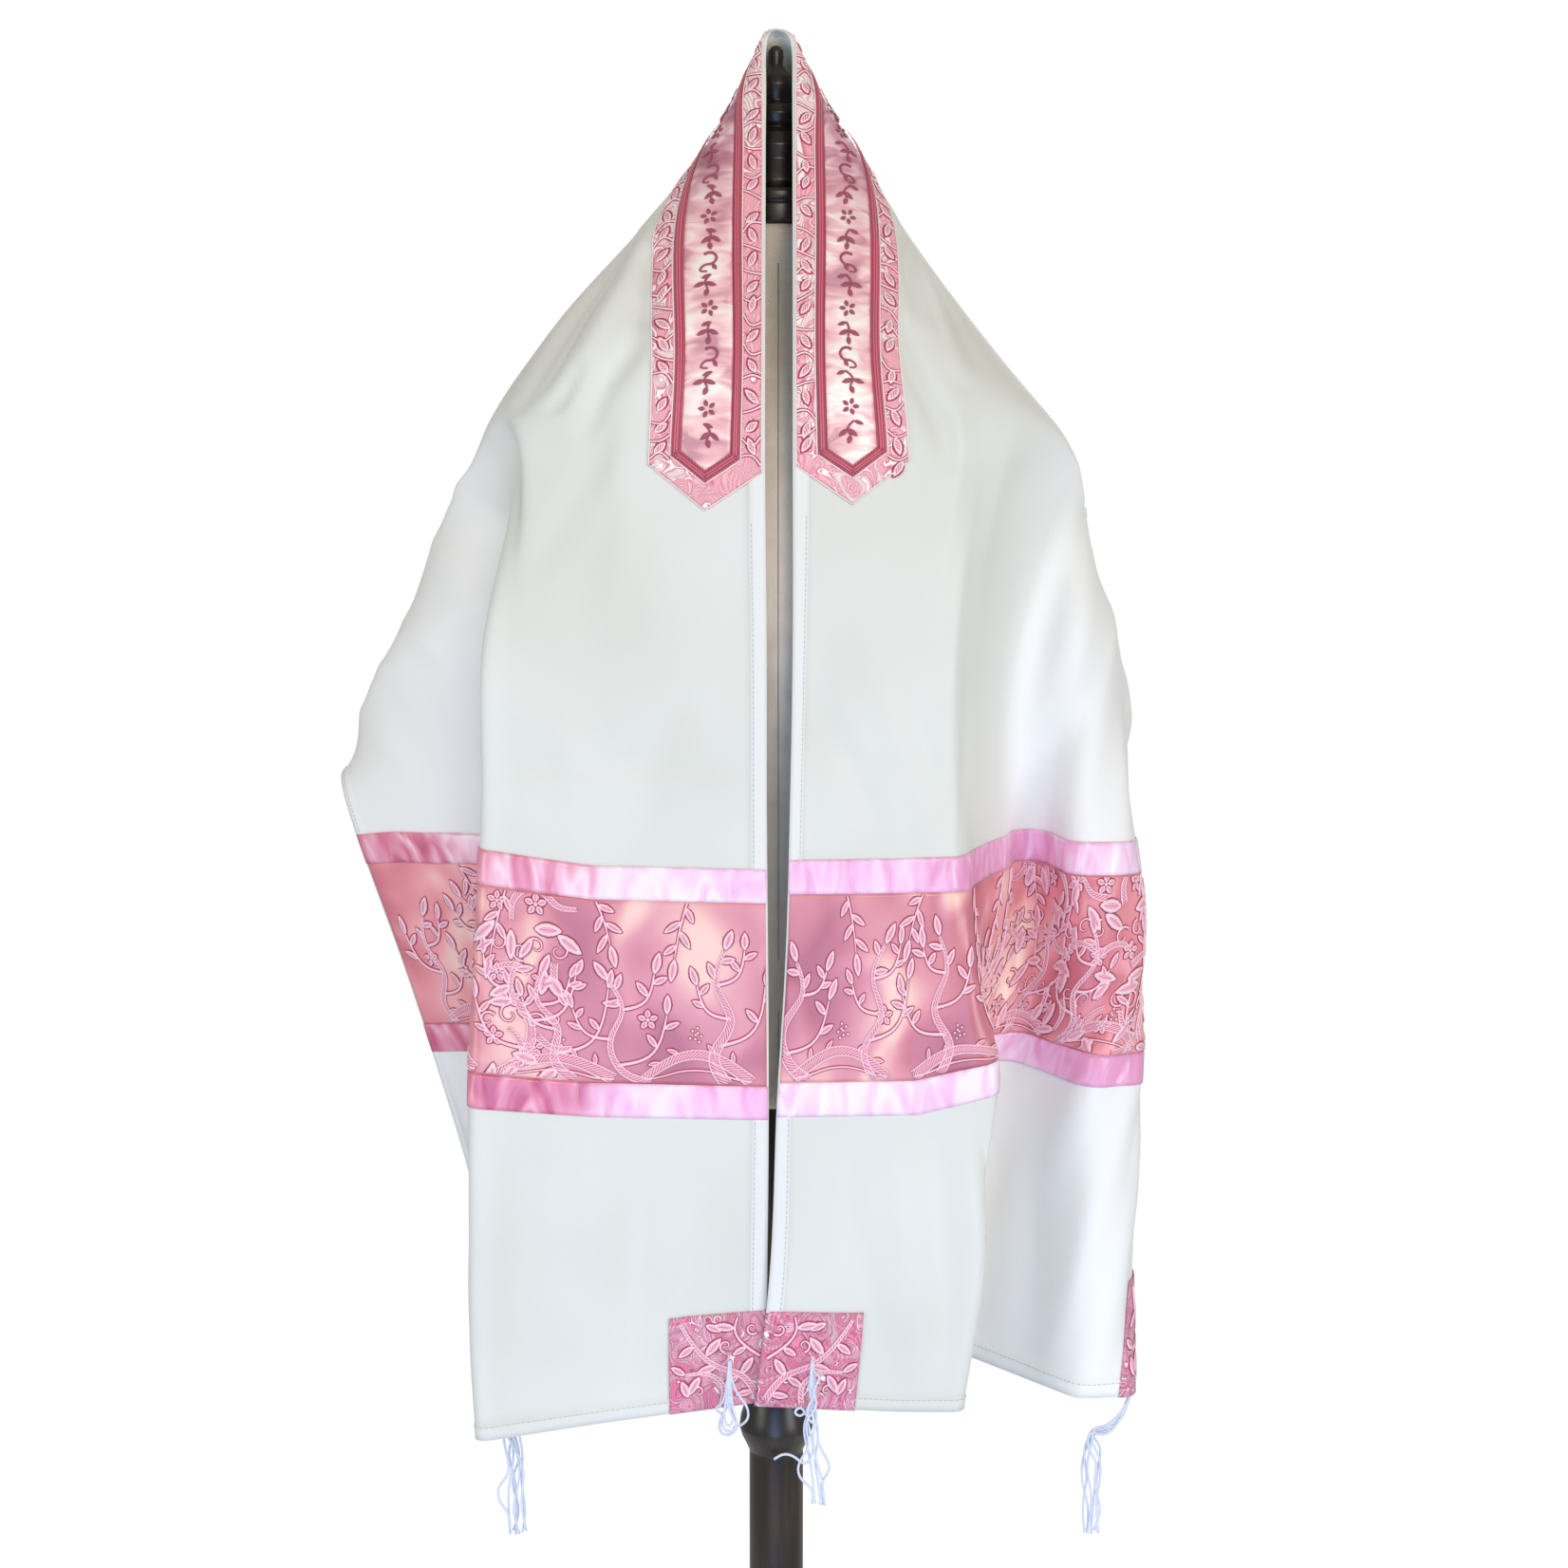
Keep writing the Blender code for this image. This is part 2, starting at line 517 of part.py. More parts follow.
def tassel(name, side, route_mm, hang, collection):
    """A corner tassel: a corded head with its strands fused into the last knot."""
    route = np.array(route_mm, float) / 1000.0
    route[:, 0] *= side
    steps = np.linspace(0, len(route) - 1, 9)
    head = spline_through(np.arange(len(route), dtype=float), route, steps)
    knot = head[-1]
    pieces = [(head, HEAD_RADIUS, 6)]
    for k in range(TASSEL_STRANDS):
        angle = 2 * math.pi * (k + 0.5) / TASSEL_STRANDS
        spread = np.array([math.cos(angle), 0.7 * math.sin(angle), 0.0])
        root = knot + spread * (HEAD_RADIUS - STRAND_RADIUS) + (0, 0, 0.004)
        end = knot + spread * 0.0075 - (0, 0, hang * (0.86 + 0.14 * math.sin(2.1 * k)))
        middle = (root + end) / 2 + spread * 0.0022
        pieces.append((np.array([root, middle, end]), STRAND_RADIUS, 4))
    made = None
    for track, radius, sides in pieces:
        bm = bmesh.new()
        tube(bm, track, radius, sides)
        bmesh.ops.recalc_face_normals(bm, faces=bm.faces)
        mesh = bpy.data.meshes.new(name)
        bm.to_mesh(mesh)
        bm.free()
        obj = bpy.data.objects.new(name + "_piece", mesh)
        collection.objects.link(obj)
        if made is None:
            made = obj
            continue
        join = made.modifiers.new("strand", "BOOLEAN")
        join.operation = "UNION"
        join.solver = "EXACT"
        join.object = obj
        graph = bpy.context.evaluated_depsgraph_get()
        baked = bpy.data.meshes.new_from_object(made.evaluated_get(graph))
        made.modifiers.clear()
        made.data = baked
        bpy.data.objects.remove(obj)
    mesh = made.data
    bpy.data.objects.remove(made)
    mesh.name = name
    mesh.materials.clear()
    return add_object(name, mesh, "cord", collection)


# ---------------------------------------------------------------- the part
def main():
    for obj in list(bpy.data.objects):
        bpy.data.objects.remove(obj)
    collection = bpy.data.collections.new(COLLECTION)
    bpy.context.scene.collection.children.link(collection)

    points = draped(U_LINES, V_LINES)
    normals = grid_normals(points)
    sheet("cloth_body", points, "cloth", collection, CLOTH_WALL, -1.0)

    for side, word in ((-1, "left"), (1, "right")):
        for (low, high), slot, label in (
            (RIBBON_1, "pink_ribbon", "ribbon_upper"),
            (BAND, "rose_satin", "band"),
            (RIBBON_2, "pink_ribbon", "ribbon_lower"),
        ):
            u_range = (low, high) if side > 0 else (-high, -low)
            strip = layer_points(points, normals, u_range, (0.0, WIDTH))
            sheet(f"{label}_{word}", strip, slot, collection, TRIM_WALL, 1.0)
        u_range = SQUARE_U if side > 0 else (-SQUARE_U[1], -SQUARE_U[0])
        for v_range, where in (((0.0, CORNER_SQUARE), "front"), ((WIDTH - CORNER_SQUARE, WIDTH), "outer")):
            patch = layer_points(points, normals, u_range, v_range)
            sheet(f"corner_{where}_{word}", patch, "brocade", collection, TRIM_WALL, 1.0)

    for level, (name, (near, far, tip, slot)) in enumerate(ATARA_LAYERS.items()):
        strip = neckband_strip(points, normals, (near, far), tip, level)
        sheet(name, strip, slot, collection, TRIM_WALL, 1.0)

    torso(collection)
    turned("form_finial", FINIAL_PROFILE, "dark_wood", collection)
    turned("form_neck_cap", CAP_PROFILE, "dark_wood", collection)
    turned("form_pole", POLE_PROFILE, "dark_wood", collection)
    turned("form_base", BASE_PROFILE, "dark_wood", collection)
    for name, (side, route_mm, hang) in TASSELS.items():
        tassel(name, side, route_mm, hang, collection)


main()
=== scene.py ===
"""Looks of a tallit prayer shawl draped over a limbless dress form.

Metres, +Z up, front towards -Y, the same frame as the solids. The cloth is one rectangle:
u runs along its long edge, 0 at the peak over the finial, negative towards -X. v runs
across it, 0 at the top edge that hangs down the front, WIDTH at the bottom edge behind.
Everything sewn on the cloth is laid out in (u, v) and lifted off the same surface.
"""

import math

import bmesh
import bpy
import numpy as np
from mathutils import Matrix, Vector


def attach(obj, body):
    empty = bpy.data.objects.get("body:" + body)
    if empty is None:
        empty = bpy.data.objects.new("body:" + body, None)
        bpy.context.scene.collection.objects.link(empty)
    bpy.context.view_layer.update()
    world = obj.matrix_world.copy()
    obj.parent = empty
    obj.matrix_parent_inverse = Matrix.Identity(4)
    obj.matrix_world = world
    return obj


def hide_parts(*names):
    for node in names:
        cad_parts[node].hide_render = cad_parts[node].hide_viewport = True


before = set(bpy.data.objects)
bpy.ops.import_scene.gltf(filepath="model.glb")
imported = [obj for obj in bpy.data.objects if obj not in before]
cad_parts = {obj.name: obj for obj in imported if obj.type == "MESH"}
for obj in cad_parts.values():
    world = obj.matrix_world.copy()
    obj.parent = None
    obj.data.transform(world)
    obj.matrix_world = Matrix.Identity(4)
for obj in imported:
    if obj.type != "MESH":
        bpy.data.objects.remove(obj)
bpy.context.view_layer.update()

# ---------------------------------------------------------------- sizes of the cut
MM = 0.001
# The cloth, and how it hangs from its peak: a rounded tip and a gap between its front edges.
LENGTH = 2.032
WIDTH = 0.610
HALF = LENGTH / 2
PEAK_Z = 1.598
TIP_ROUND = 0.006
EDGE_GAP = {-1: 0.007, 1: 0.012}
EDGE_GAP_REACH = 0.012

# Trims across the cloth, as spans from the peak, and the corner squares.
RIBBON_1 = (0.632, 0.656)
BAND = (0.656, 0.787)
RIBBON_2 = (0.787, 0.811)
CORNER_SQUARE = 0.067
# The neckband: a brocade strip, a braid strip and a satin insert, each with a point at both
# ends. Pale cords follow the brocade's edge and the braid strip's, and a round braid lies
# between that edge and the insert.
ATARA_MIDDLE = 0.0425
ATARA_HALF = 0.0405
ATARA_TIP = 0.386
POINT_SLOPE = 0.72
BRAID_HALF = 0.0245
INSERT_HALF = 0.0175
INNER_CORD_HALF = 0.0252
ROUND_BRAID_HALF = 0.0212

# Walls, and the turned hems. The cloth's face stays CLOTH_SHY under the surface that the
# trims are lifted from.
CLOTH_WALL = 0.0009
CLOTH_SHY = 0.0003
TRIM_WALL = 0.0006
FRONT_HEM = 0.0115
END_HEM = 0.0095
OUTER_HEM = 0.0055
HEM_STEP = 0.0005

# ---------------------------------------------------------------- the drape, as in the solids
HOOD_SLOPES = {"front": (26.7, 0.0), "side": (35.5, 24.0), "back": (29.0, 3.0)}
KNEE = 0.30
KNEE_SOFT = 0.030
# How far the cloth sags in at the sides of the hood, in millimetres, at each distance
# from the peak along the cloth.
SAG_COLUMNS = ("from_peak", "left", "right")
HOOD_SAG = (
    (0.000, 0.0, 0.0),
    (0.012, 3.5, 4.0),
    (0.035, 11.5, 11.5),
    (0.070, 18.0, 16.5),
    (0.110, 21.0, 17.0),
    (0.150, 19.5, 19.5),
    (0.190, 17.0, 25.5),
    (0.230, 13.0, 30.0),
    (0.290, 5.0, 24.0),
    (0.350, 0.0, 8.0),
    (0.400, 0.0, 0.0),
    (0.700, 0.0, 0.0),
)
FRONT_CORNER_FULLNESS = 0.13
FRONT_CORNER_AT = math.radians(60)
FRONT_CORNER_SPREAD = math.radians(26)
FRONT_CORNER_FULL_FROM = 0.26
HOOD_STATIONS = (0.0, 0.008, 0.02, 0.045, 0.09, 0.15, 0.21, 0.27)

# Sections across the cloth below the hood: a row for each u, then a key point for each
# column as (outward, y, z) in millimetres. Straight between key points, bent round them.
COLUMNS = ("edge", "front", "fold", "tuck", "turn", "side", "round", "back", "outer")
BEND_RADIUS_MM = {
    "front": 60, "fold": 8, "tuck": 12, "turn": 16, "side": 22, "round": 22, "back": 34
}
# A bend takes up no more than this share of the shorter run beside it, is cut into this many
# steps, and is left out where the runs meet almost in line.
BEND_SHARE = 0.42
BEND_STEPS = 8
ALMOST_STRAIGHT = 0.02
LEFT_SECTIONS = (
    (0.360, (7, -136, 1271), (112, -122, 1279), (178, -104, 1286), (180, -84, 1289),
     (200, -52, 1282), (230, -14, 1266), (258, 26, 1226), (287, 80, 1136), (272, 132, 1000)),
    (0.480, (6, -138, 1151), (128, -136, 1156), (203, -130, 1164), (150, -84, 1172),
     (212, -50, 1166), (266, -14, 1154), (300, 20, 1130), (323, 54, 1095), (330, 92, 1040)),
    (0.576, (6, -138, 1055), (130, -138, 1058), (206, -135, 1070), (108, -80, 1074),
     (215, -48, 1066), (248, -28, 1062), (280, -10, 1057), (308, 12, 1050), (333, 32, 1040)),
    (0.720, (5, -138, 911), (130, -139, 914), (213, -139, 924), (80, -86, 928),
     (216, -42, 929), (235, -28, 926), (254, -14, 924), (272, 0, 921), (290, 13, 918)),
    (0.840, (5, -139, 791), (132, -143, 793), (217, -148, 801), (58, -92, 806),
     (198, -42, 819), (212, -32, 818), (226, -22, 817), (240, -13, 815), (254, -4, 813)),
    (0.930, (6, -140, 701), (132, -151, 696), (217, -160, 696), (28, -98, 708),
     (170, -56, 730), (184, -50, 730), (198, -45, 730), (212, -40, 731), (226, -35, 731)),
    (1.016, (7, -140, 615), (130, -161, 605), (211, -175, 600), (16, -106, 612),
     (154, -70, 640), (168, -67, 643), (182, -63, 646), (196, -60, 649), (210, -56, 652)),
)
RIGHT_SECTIONS = (
    (0.360, (12, -136, 1276), (84, -132, 1279), (128, -126, 1284), (164, -98, 1286),
     (190, -66, 1284), (214, -30, 1272), (236, 18, 1238), (256, 88, 1128), (238, 146, 990)),
    (0.480, (12, -138, 1157), (84, -138, 1160), (126, -135, 1164), (158, -84, 1165),
     (188, -40, 1164), (222, -50, 1159), (250, -18, 1146), (270, 58, 1082), (262, 122, 1010)),
    (0.600, (10, -138, 1038), (84, -138, 1039), (126, -136, 1041), (158, -78, 1044),
     (188, -24, 1044), (224, -62, 1041), (258, -48, 1038), (270, 26, 1032), (268, 98, 1028)),
    (0.720, (6, -140, 916), (92, -139, 917), (140, -136, 919), (150, -84, 923),
     (182, -24, 925), (228, -74, 921), (267, -60, 917), (273, 2, 914), (268, 66, 911)),
    (0.800, (1, -141, 834), (100, -138, 835), (158, -134, 850), (112, -92, 848),
     (176, -28, 848), (232, -80, 841), (269, -62, 839), (272, -12, 838), (265, 36, 837)),
    (0.920, (-4, -144, 712), (96, -141, 710), (150, -139, 712), (52, -94, 722),
     (156, -26, 728), (228, -92, 718), (263, -84, 716), (267, -42, 717), (258, -2, 719)),
    (1.016, (-15, -147, 614), (88, -144, 608), (135, -142, 610), (14, -94, 614),
     (140, -24, 608), (222, -100, 602), (261, -94, 602), (266, -62, 606), (254, -38, 612)),
)
SECTIONS = {-1: LEFT_SECTIONS, 1: RIGHT_SECTIONS}

# Hanging folds of the back: where each one is along the hem, its half-width, how far it
# stands out (+) or goes in (-) at the hem, and how far down the cloth it starts.
FOLD_COLUMNS = ("u", "half_width", "depth", "start_v")
BACK_FOLDS = (
    (-0.420, 0.070, -0.018, 0.32),
    (-0.325, 0.070, 0.020, 0.24),
    (-0.195, 0.075, -0.030, 0.20),
    (-0.065, 0.070, 0.016, 0.18),
    (0.060, 0.070, -0.026, 0.16),
    (0.185, 0.075, 0.020, 0.20),
    (0.310, 0.075, -0.026, 0.22),
    (0.440, 0.075, 0.014, 0.28),
)


def smooth_step(x):
    """Rises smoothly from 0 to 1 as x does."""
    x = np.clip(x, 0.0, 1.0)
    return x * x * (3.0 - 2.0 * x)


def hood_section(side, u, vs):
    """Points of the hood at one u: a rounded cone that bends at the shoulders."""
    rho = np.hypot(u, vs)
    phi = 2.0 * np.arctan2(vs, u)
    to_front = np.clip(np.cos(phi), 0.0, 1.0) ** 2
    to_back = np.clip(-np.cos(phi), 0.0, 1.0) ** 2
    weight = {"front": to_front, "back": to_back, "side": 1.0 - to_front - to_back}
    past_knee = KNEE_SOFT * np.logaddexp(0.0, (rho - KNEE) / KNEE_SOFT)
    reach = np.zeros_like(rho)
    drop = np.zeros_like(rho)
    for way, (above, below) in HOOD_SLOPES.items():
        above, below = math.radians(above), math.radians(below)
        along = np.sqrt(rho ** 2 + TIP_ROUND ** 2) - TIP_ROUND
        out = rho * math.sin(above) + (1 - math.sin(above)) * TIP_ROUND * np.tanh(rho / TIP_ROUND)
        reach += weight[way] * (out + (math.sin(below) - math.sin(above)) * past_knee)
        drop += weight[way] * (along * math.cos(above) + (math.cos(below) - math.cos(above)) * past_knee)
    sags = dict(zip(SAG_COLUMNS, np.array(HOOD_SAG).T))
    sag = np.interp(rho, sags["from_peak"], sags["left" if side < 0 else "right"] / 1000.0)
    reach = reach - sag * np.sin(phi) ** 2
    fullness = np.exp(-(((phi - FRONT_CORNER_AT) / FRONT_CORNER_SPREAD) ** 2))
    grown = smooth_step(rho / FRONT_CORNER_FULL_FROM)
    reach = reach * (1.0 + FRONT_CORNER_FULLNESS * fullness * grown)
    gap = EDGE_GAP[side] * math.tanh(u / EDGE_GAP_REACH) * (1 + np.cos(phi)) / 2
    return np.stack([side * (reach * np.sin(phi) + gap), -reach * np.cos(phi), PEAK_Z - drop], axis=1)


def bend_of(before, here, after, radius):
    """Centre, turning sense and radius of the bend at one key point, in plan."""
    back, on = before - here, after - here
    inward = back / np.linalg.norm(back) + on / np.linalg.norm(on)
    size = np.linalg.norm(inward)
    if size < ALMOST_STRAIGHT:
        return here, 1.0, 0.0
    sense = 1.0 if back[1] * on[0] - back[0] * on[1] > 0 else -1.0
    return here + inward / size * radius, sense, radius


def plan_track(plan, radii):
    """A path in plan through key points: straight runs tangent to a bend at each one."""
    bends = [(plan[0], 1.0, 0.0)]
    for k in range(1, len(plan) - 1):
        shortest = min(np.linalg.norm(plan[k] - plan[k - 1]), np.linalg.norm(plan[k + 1] - plan[k]))
        radius = min(radii[k - 1], BEND_SHARE * shortest)
        bends.append(bend_of(plan[k - 1], plan[k], plan[k + 1], radius))
    bends.append((plan[-1], 1.0, 0.0))
    headings = []
    for (c1, s1, r1), (c2, s2, r2) in zip(bends, bends[1:]):
        way = c2 - c1
        tilt = math.asin(np.clip((s2 * r2 - s1 * r1) / np.linalg.norm(way), -0.95, 0.95))
        headings.append(math.atan2(way[1], way[0]) - tilt)
    points, middles = [plan[0]], [0]
    for k in range(1, len(plan) - 1):
        centre, sense, radius = bends[k]
        turn = (sense * (headings[k] - headings[k - 1]) + math.pi / 2) % (2 * math.pi) - math.pi / 2
        for share in np.linspace(0.0, 1.0, BEND_STEPS + 1):
            heading = headings[k - 1] + sense * max(turn, 0.0) * share
            left = np.array((-math.sin(heading), math.cos(heading)))
            points.append(centre - sense * radius * left)
        middles.append(len(points) - 1 - BEND_STEPS // 2)
    return np.array(points + [plan[-1]]), middles + [len(points)]


def hung_section(side, row, vs):
    """Points of one section row, spaced evenly along the cloth from edge to edge."""
    keys = np.array(row[1:], float) * MM
    radii = [BEND_RADIUS_MM[name] * MM for name in COLUMNS[1:-1]]
    plan, middles = plan_track(keys[:, :2], radii)
    steps = np.linalg.norm(np.diff(plan, axis=0), axis=1)
    far = np.concatenate([[0.0], np.cumsum(steps)])
    heights = np.interp(far, far[middles], keys[:, 2])
    track = np.column_stack([side * plan[:, 0], plan[:, 1], heights])
    run = np.concatenate([[0.0], np.cumsum(np.linalg.norm(np.diff(track, axis=0), axis=1))])
    at = vs / WIDTH * run[-1]
    return np.stack([np.interp(at, run, track[:, axis]) for axis in range(3)], axis=1)


def spline_through(stations, values, at):
    """Natural cubic spline through values (station first), read at the places `at`."""
    n = len(stations)
    step = np.diff(stations)
    matrix, right = np.eye(n), np.zeros((n,) + values.shape[1:])
    slope = np.diff(values, axis=0) / step.reshape((-1,) + (1,) * (values.ndim - 1))
    for i in range(1, n - 1):
        matrix[i, i - 1 : i + 2] = step[i - 1], 2 * (step[i - 1] + step[i]), step[i]
        right[i] = 6 * (slope[i] - slope[i - 1])
    bend = np.linalg.solve(matrix, right.reshape(n, -1)).reshape(right.shape)
    cell = np.clip(np.searchsorted(stations, at, side="right") - 1, 0, n - 2)
    shape = (-1,) + (1,) * (values.ndim - 1)
    h = step[cell].reshape(shape)
    a = ((stations[cell + 1] - at).reshape(shape)) / h
    b = 1.0 - a
    curve = (a ** 3 - a) * bend[cell] + (b ** 3 - b) * bend[cell + 1]
    return a * values[cell] + b * values[cell + 1] + curve * h * h / 6.0


def grid_normals(points):
    """Outward unit normals of a grid of surface points, u first and v second."""
    across = np.cross(np.gradient(points, axis=0), np.gradient(points, axis=1))
    return across / np.maximum(np.linalg.norm(across, axis=2, keepdims=True), 1e-12)


def draped(us, vs):
    """Outer surface of the cloth at every u and v: shape (len(us), len(vs), 3)."""
    stations, rows = [], []
    for side in (-1, 1):
        for u in HOOD_STATIONS[0 if side < 0 else 1 :]:
            stations.append(side * u)
            rows.append(hood_section(side, u, vs))
        for row in SECTIONS[side]:
            stations.append(side * row[0])
            rows.append(hung_section(side, row, vs))
    order = np.argsort(stations)
    points = spline_through(np.array(stations)[order], np.array(rows)[order], us)
    push = np.zeros((len(us), len(vs)))
    for fold in BACK_FOLDS:
        row = dict(zip(FOLD_COLUMNS, fold))
        along = np.clip((us - row["u"]) / row["half_width"], -1.0, 1.0)
        down = smooth_step((vs - row["start_v"]) / (WIDTH - row["start_v"]))
        push += row["depth"] * np.outer(np.cos(along * math.pi / 2) ** 2, down)
    return points + push[:, :, None] * grid_normals(points)


def filled(stops, most):
    """Grid lines through every stop, with no step longer than `most`."""
    lines = [stops[0]]
    for a, b in zip(stops, stops[1:]):
        pieces = max(1, math.ceil((b - a) / most - 1e-6))
        lines += [a + (b - a) * k / pieces for k in range(1, pieces + 1)]
    return lines


# ---------------------------------------------------------------- the fine cloth surface
# The grid is finest beside the neckband, where the sharpest fold lines run, and each hem's
# step has two lines of its own, HEM_EDGE apart.
HEM_EDGE = 0.0004
CREASED_V = (0.078, 0.17)
FOLDS_END = 0.466
TIP_END, HOOD_END = 0.05, 0.33
FRONT_V = filled((0.0, FRONT_HEM, FRONT_HEM + HEM_EDGE, CREASED_V[0]), 0.0052)
SHARP_V = filled(CREASED_V, 0.0033)
FOLDED_V = filled((CREASED_V[1], FOLDS_END), 0.0043)
OUTER_V = filled((FOLDS_END, WIDTH - OUTER_HEM - HEM_EDGE, WIDTH - OUTER_HEM, WIDTH), 0.0056)
FINE_V = np.unique(np.round(FRONT_V + SHARP_V + FOLDED_V + OUTER_V, 6))
PEAK_U = filled((0.0, TIP_END), 0.0040) + filled((TIP_END, HOOD_END), 0.0048)
HANGING_U = filled((HOOD_END, HALF - END_HEM - HEM_EDGE, HALF - END_HEM, HALF), 0.0072)
U_HALF = np.unique(np.round(PEAK_U + HANGING_U, 6))
FINE_U = np.concatenate([-U_HALF[:0:-1], U_HALF])

# Creases and soft folds of the hanging cloth: how wide and how high each is in millimetres
# (negative goes in), and the line that it follows in (u, v).
CREASE_COLUMNS = ("width_mm", "height_mm", "line")
CREASES = (
    # Shoulders: a sharp fold line and soft folds dragged down from the neckband's outer edge.
    (3.6, -4.4, ((-0.130, 0.096), (-0.192, 0.110), (-0.224, 0.125), (-0.256, 0.140),
                 (-0.290, 0.158))),
    (8.0, 5.0, ((-0.150, 0.087), (-0.205, 0.098), (-0.252, 0.120), (-0.300, 0.142))),
    (9.0, -6.0, ((-0.146, 0.110), (-0.200, 0.126), (-0.250, 0.152), (-0.305, 0.176))),
    (6.5, -6.2, ((-0.180, 0.084), (-0.215, 0.086), (-0.245, 0.090))),
    (8.0, -8.0, ((-0.222, 0.082), (-0.258, 0.094), (-0.290, 0.113), (-0.345, 0.132))),
    (5.0, -4.6, ((-0.262, 0.124), (-0.288, 0.135), (-0.312, 0.150))),
    (10.0, 3.0, ((-0.270, 0.084), (-0.320, 0.100), (-0.385, 0.110))),
    (12.0, -3.0, ((-0.270, 0.086), (-0.344, 0.112), (-0.416, 0.155), (-0.450, 0.180))),
    (11.0, 1.6, ((-0.340, 0.090), (-0.410, 0.100), (-0.470, 0.120))),
    (3.6, -4.0, ((0.100, 0.090), (0.152, 0.096), (0.205, 0.104), (0.262, 0.116))),
    (8.0, -3.4, ((0.110, 0.104), (0.160, 0.112), (0.212, 0.124), (0.270, 0.140))),
    (6.5, -5.6, ((0.110, 0.086), (0.152, 0.092), (0.200, 0.094), (0.240, 0.100))),
    (9.0, 3.2, ((0.160, 0.100), (0.232, 0.112), (0.285, 0.128))),
    (8.0, -6.4, ((0.236, 0.084), (0.276, 0.092), (0.320, 0.106), (0.370, 0.116))),
    (12.0, -1.8, ((0.230, 0.088), (0.330, 0.100), (0.420, 0.110))),
    # Above the bands: a crease pressed across each front, and soft folds down to the ribbons.
    (4.6, -2.0, ((-0.568, 0.205), (-0.568, 0.145), (-0.561, 0.075), (-0.563, 0.014))),
    (6.0, 1.6, ((-0.579, 0.200), (-0.577, 0.145), (-0.571, 0.075), (-0.572, 0.014))),
    (4.6, -1.8, ((0.560, 0.014), (0.567, 0.055), (0.570, 0.120), (0.567, 0.150))),
    (6.0, 1.4, ((0.570, 0.014), (0.576, 0.055), (0.579, 0.120))),
    (12.0, -3.2, ((0.500, 0.014), (0.536, 0.030), (0.584, 0.060), (0.628, 0.085))),
    (13.0, 2.0, ((0.480, 0.060), (0.530, 0.080), (0.584, 0.112), (0.628, 0.128))),
    (9.0, -1.6, ((0.520, 0.098), (0.560, 0.118), (0.628, 0.146))),
    (16.0, -3.2, ((-0.500, 0.060), (-0.560, 0.086), (-0.628, 0.098))),
    (14.0, 2.8, ((-0.520, 0.150), (-0.580, 0.140), (-0.628, 0.150))),
    # Below the bands and behind them: long soft folds towards the hem and the corner squares.
    (15.0, -3.8, ((-0.816, 0.180), (-0.900, 0.166), (-1.010, 0.172))),
    (15.0, 3.6, ((-0.816, 0.132), (-0.904, 0.120), (-1.010, 0.118))),
    (12.0, -3.4, ((-0.820, 0.086), (-0.904, 0.090), (-0.980, 0.092))),
    (8.0, 2.6, ((-0.880, 0.052), (-0.920, 0.056), (-0.948, 0.066), (-0.985, 0.088))),
    (11.0, -3.0, ((0.816, 0.050), (0.896, 0.058), (0.985, 0.082))),
    (14.0, 3.4, ((0.816, 0.092), (0.900, 0.096), (1.010, 0.104))),
    (12.0, -3.4, ((0.816, 0.124), (0.900, 0.122), (1.010, 0.126))),
    (14.0, -3.8, ((0.816, 0.400), (0.928, 0.440), (1.010, 0.470))),
    (14.0, 3.4, ((0.700, 0.440), (0.830, 0.462), (0.920, 0.492), (1.010, 0.515))),
    (13.0, -3.2, ((0.816, 0.500), (0.912, 0.530), (1.010, 0.556))),
    (14.0, 1.0, ((-0.360, 0.470), (-0.450, 0.500), (-0.560, 0.540))),
    (15.0, -1.0, ((-0.420, 0.420), (-0.500, 0.450), (-0.620, 0.500))),
    (12.0, 0.9, ((-0.620, 0.470), (-0.740, 0.500), (-0.860, 0.530))),
    # The back, finished like the front: uneven folds that open out towards the hem.
    (18.0, -3.0, ((-0.245, 0.240), (-0.258, 0.400), (-0.255, 0.600))),
    (16.0, 2.4, ((-0.130, 0.260), (-0.135, 0.420), (-0.128, 0.600))),
    (14.0, -2.2, ((-0.020, 0.220), (-0.004, 0.400), (-0.008, 0.600))),
    (16.0, 2.6, ((0.110, 0.250), (0.118, 0.420), (0.126, 0.600))),
    (16.0, -2.8, ((0.240, 0.240), (0.250, 0.430), (0.246, 0.600))),
    (14.0, 2.2, ((0.370, 0.330), (0.385, 0.470), (0.380, 0.600))),
    (5.0, -1.4, ((-0.420, 0.305), (-0.200, 0.308), (0.000, 0.303), (0.210, 0.307), (0.420, 0.304))),
)


def along_line(us, vs, line):
    """Distance of every grid place from a line in (u, v), and how far along it is."""
    u, v = np.meshgrid(us, vs, indexing="ij")
    best, share = np.full(u.shape, 1e9), np.zeros(u.shape)
    ends = np.array(line, float)
    for k, (a, b) in enumerate(zip(ends, ends[1:])):
        way = b - a
        t = np.clip(((u - a[0]) * way[0] + (v - a[1]) * way[1]) / (way @ way), 0.0, 1.0)
        far = np.hypot(u - a[0] - t * way[0], v - a[1] - t * way[1])
        nearer = far < best
        best = np.where(nearer, far, best)
        share = np.where(nearer, (k + t) / (len(ends) - 1), share)
    return best, share


def crease_push(us, vs):
    """How far the creases move the cloth outwards; each fades out at both its ends."""
    push = np.zeros((len(us), len(vs)))
    for crease in CREASES:
        row = dict(zip(CREASE_COLUMNS, crease))
        away, share = along_line(us, vs, row["line"])
        ends = np.sin(np.clip(share, 0.0, 1.0) * math.pi) ** 0.6
        push += row["height_mm"] * MM * ends * np.exp(-((away / (row["width_mm"] * MM)) ** 2))
    return push


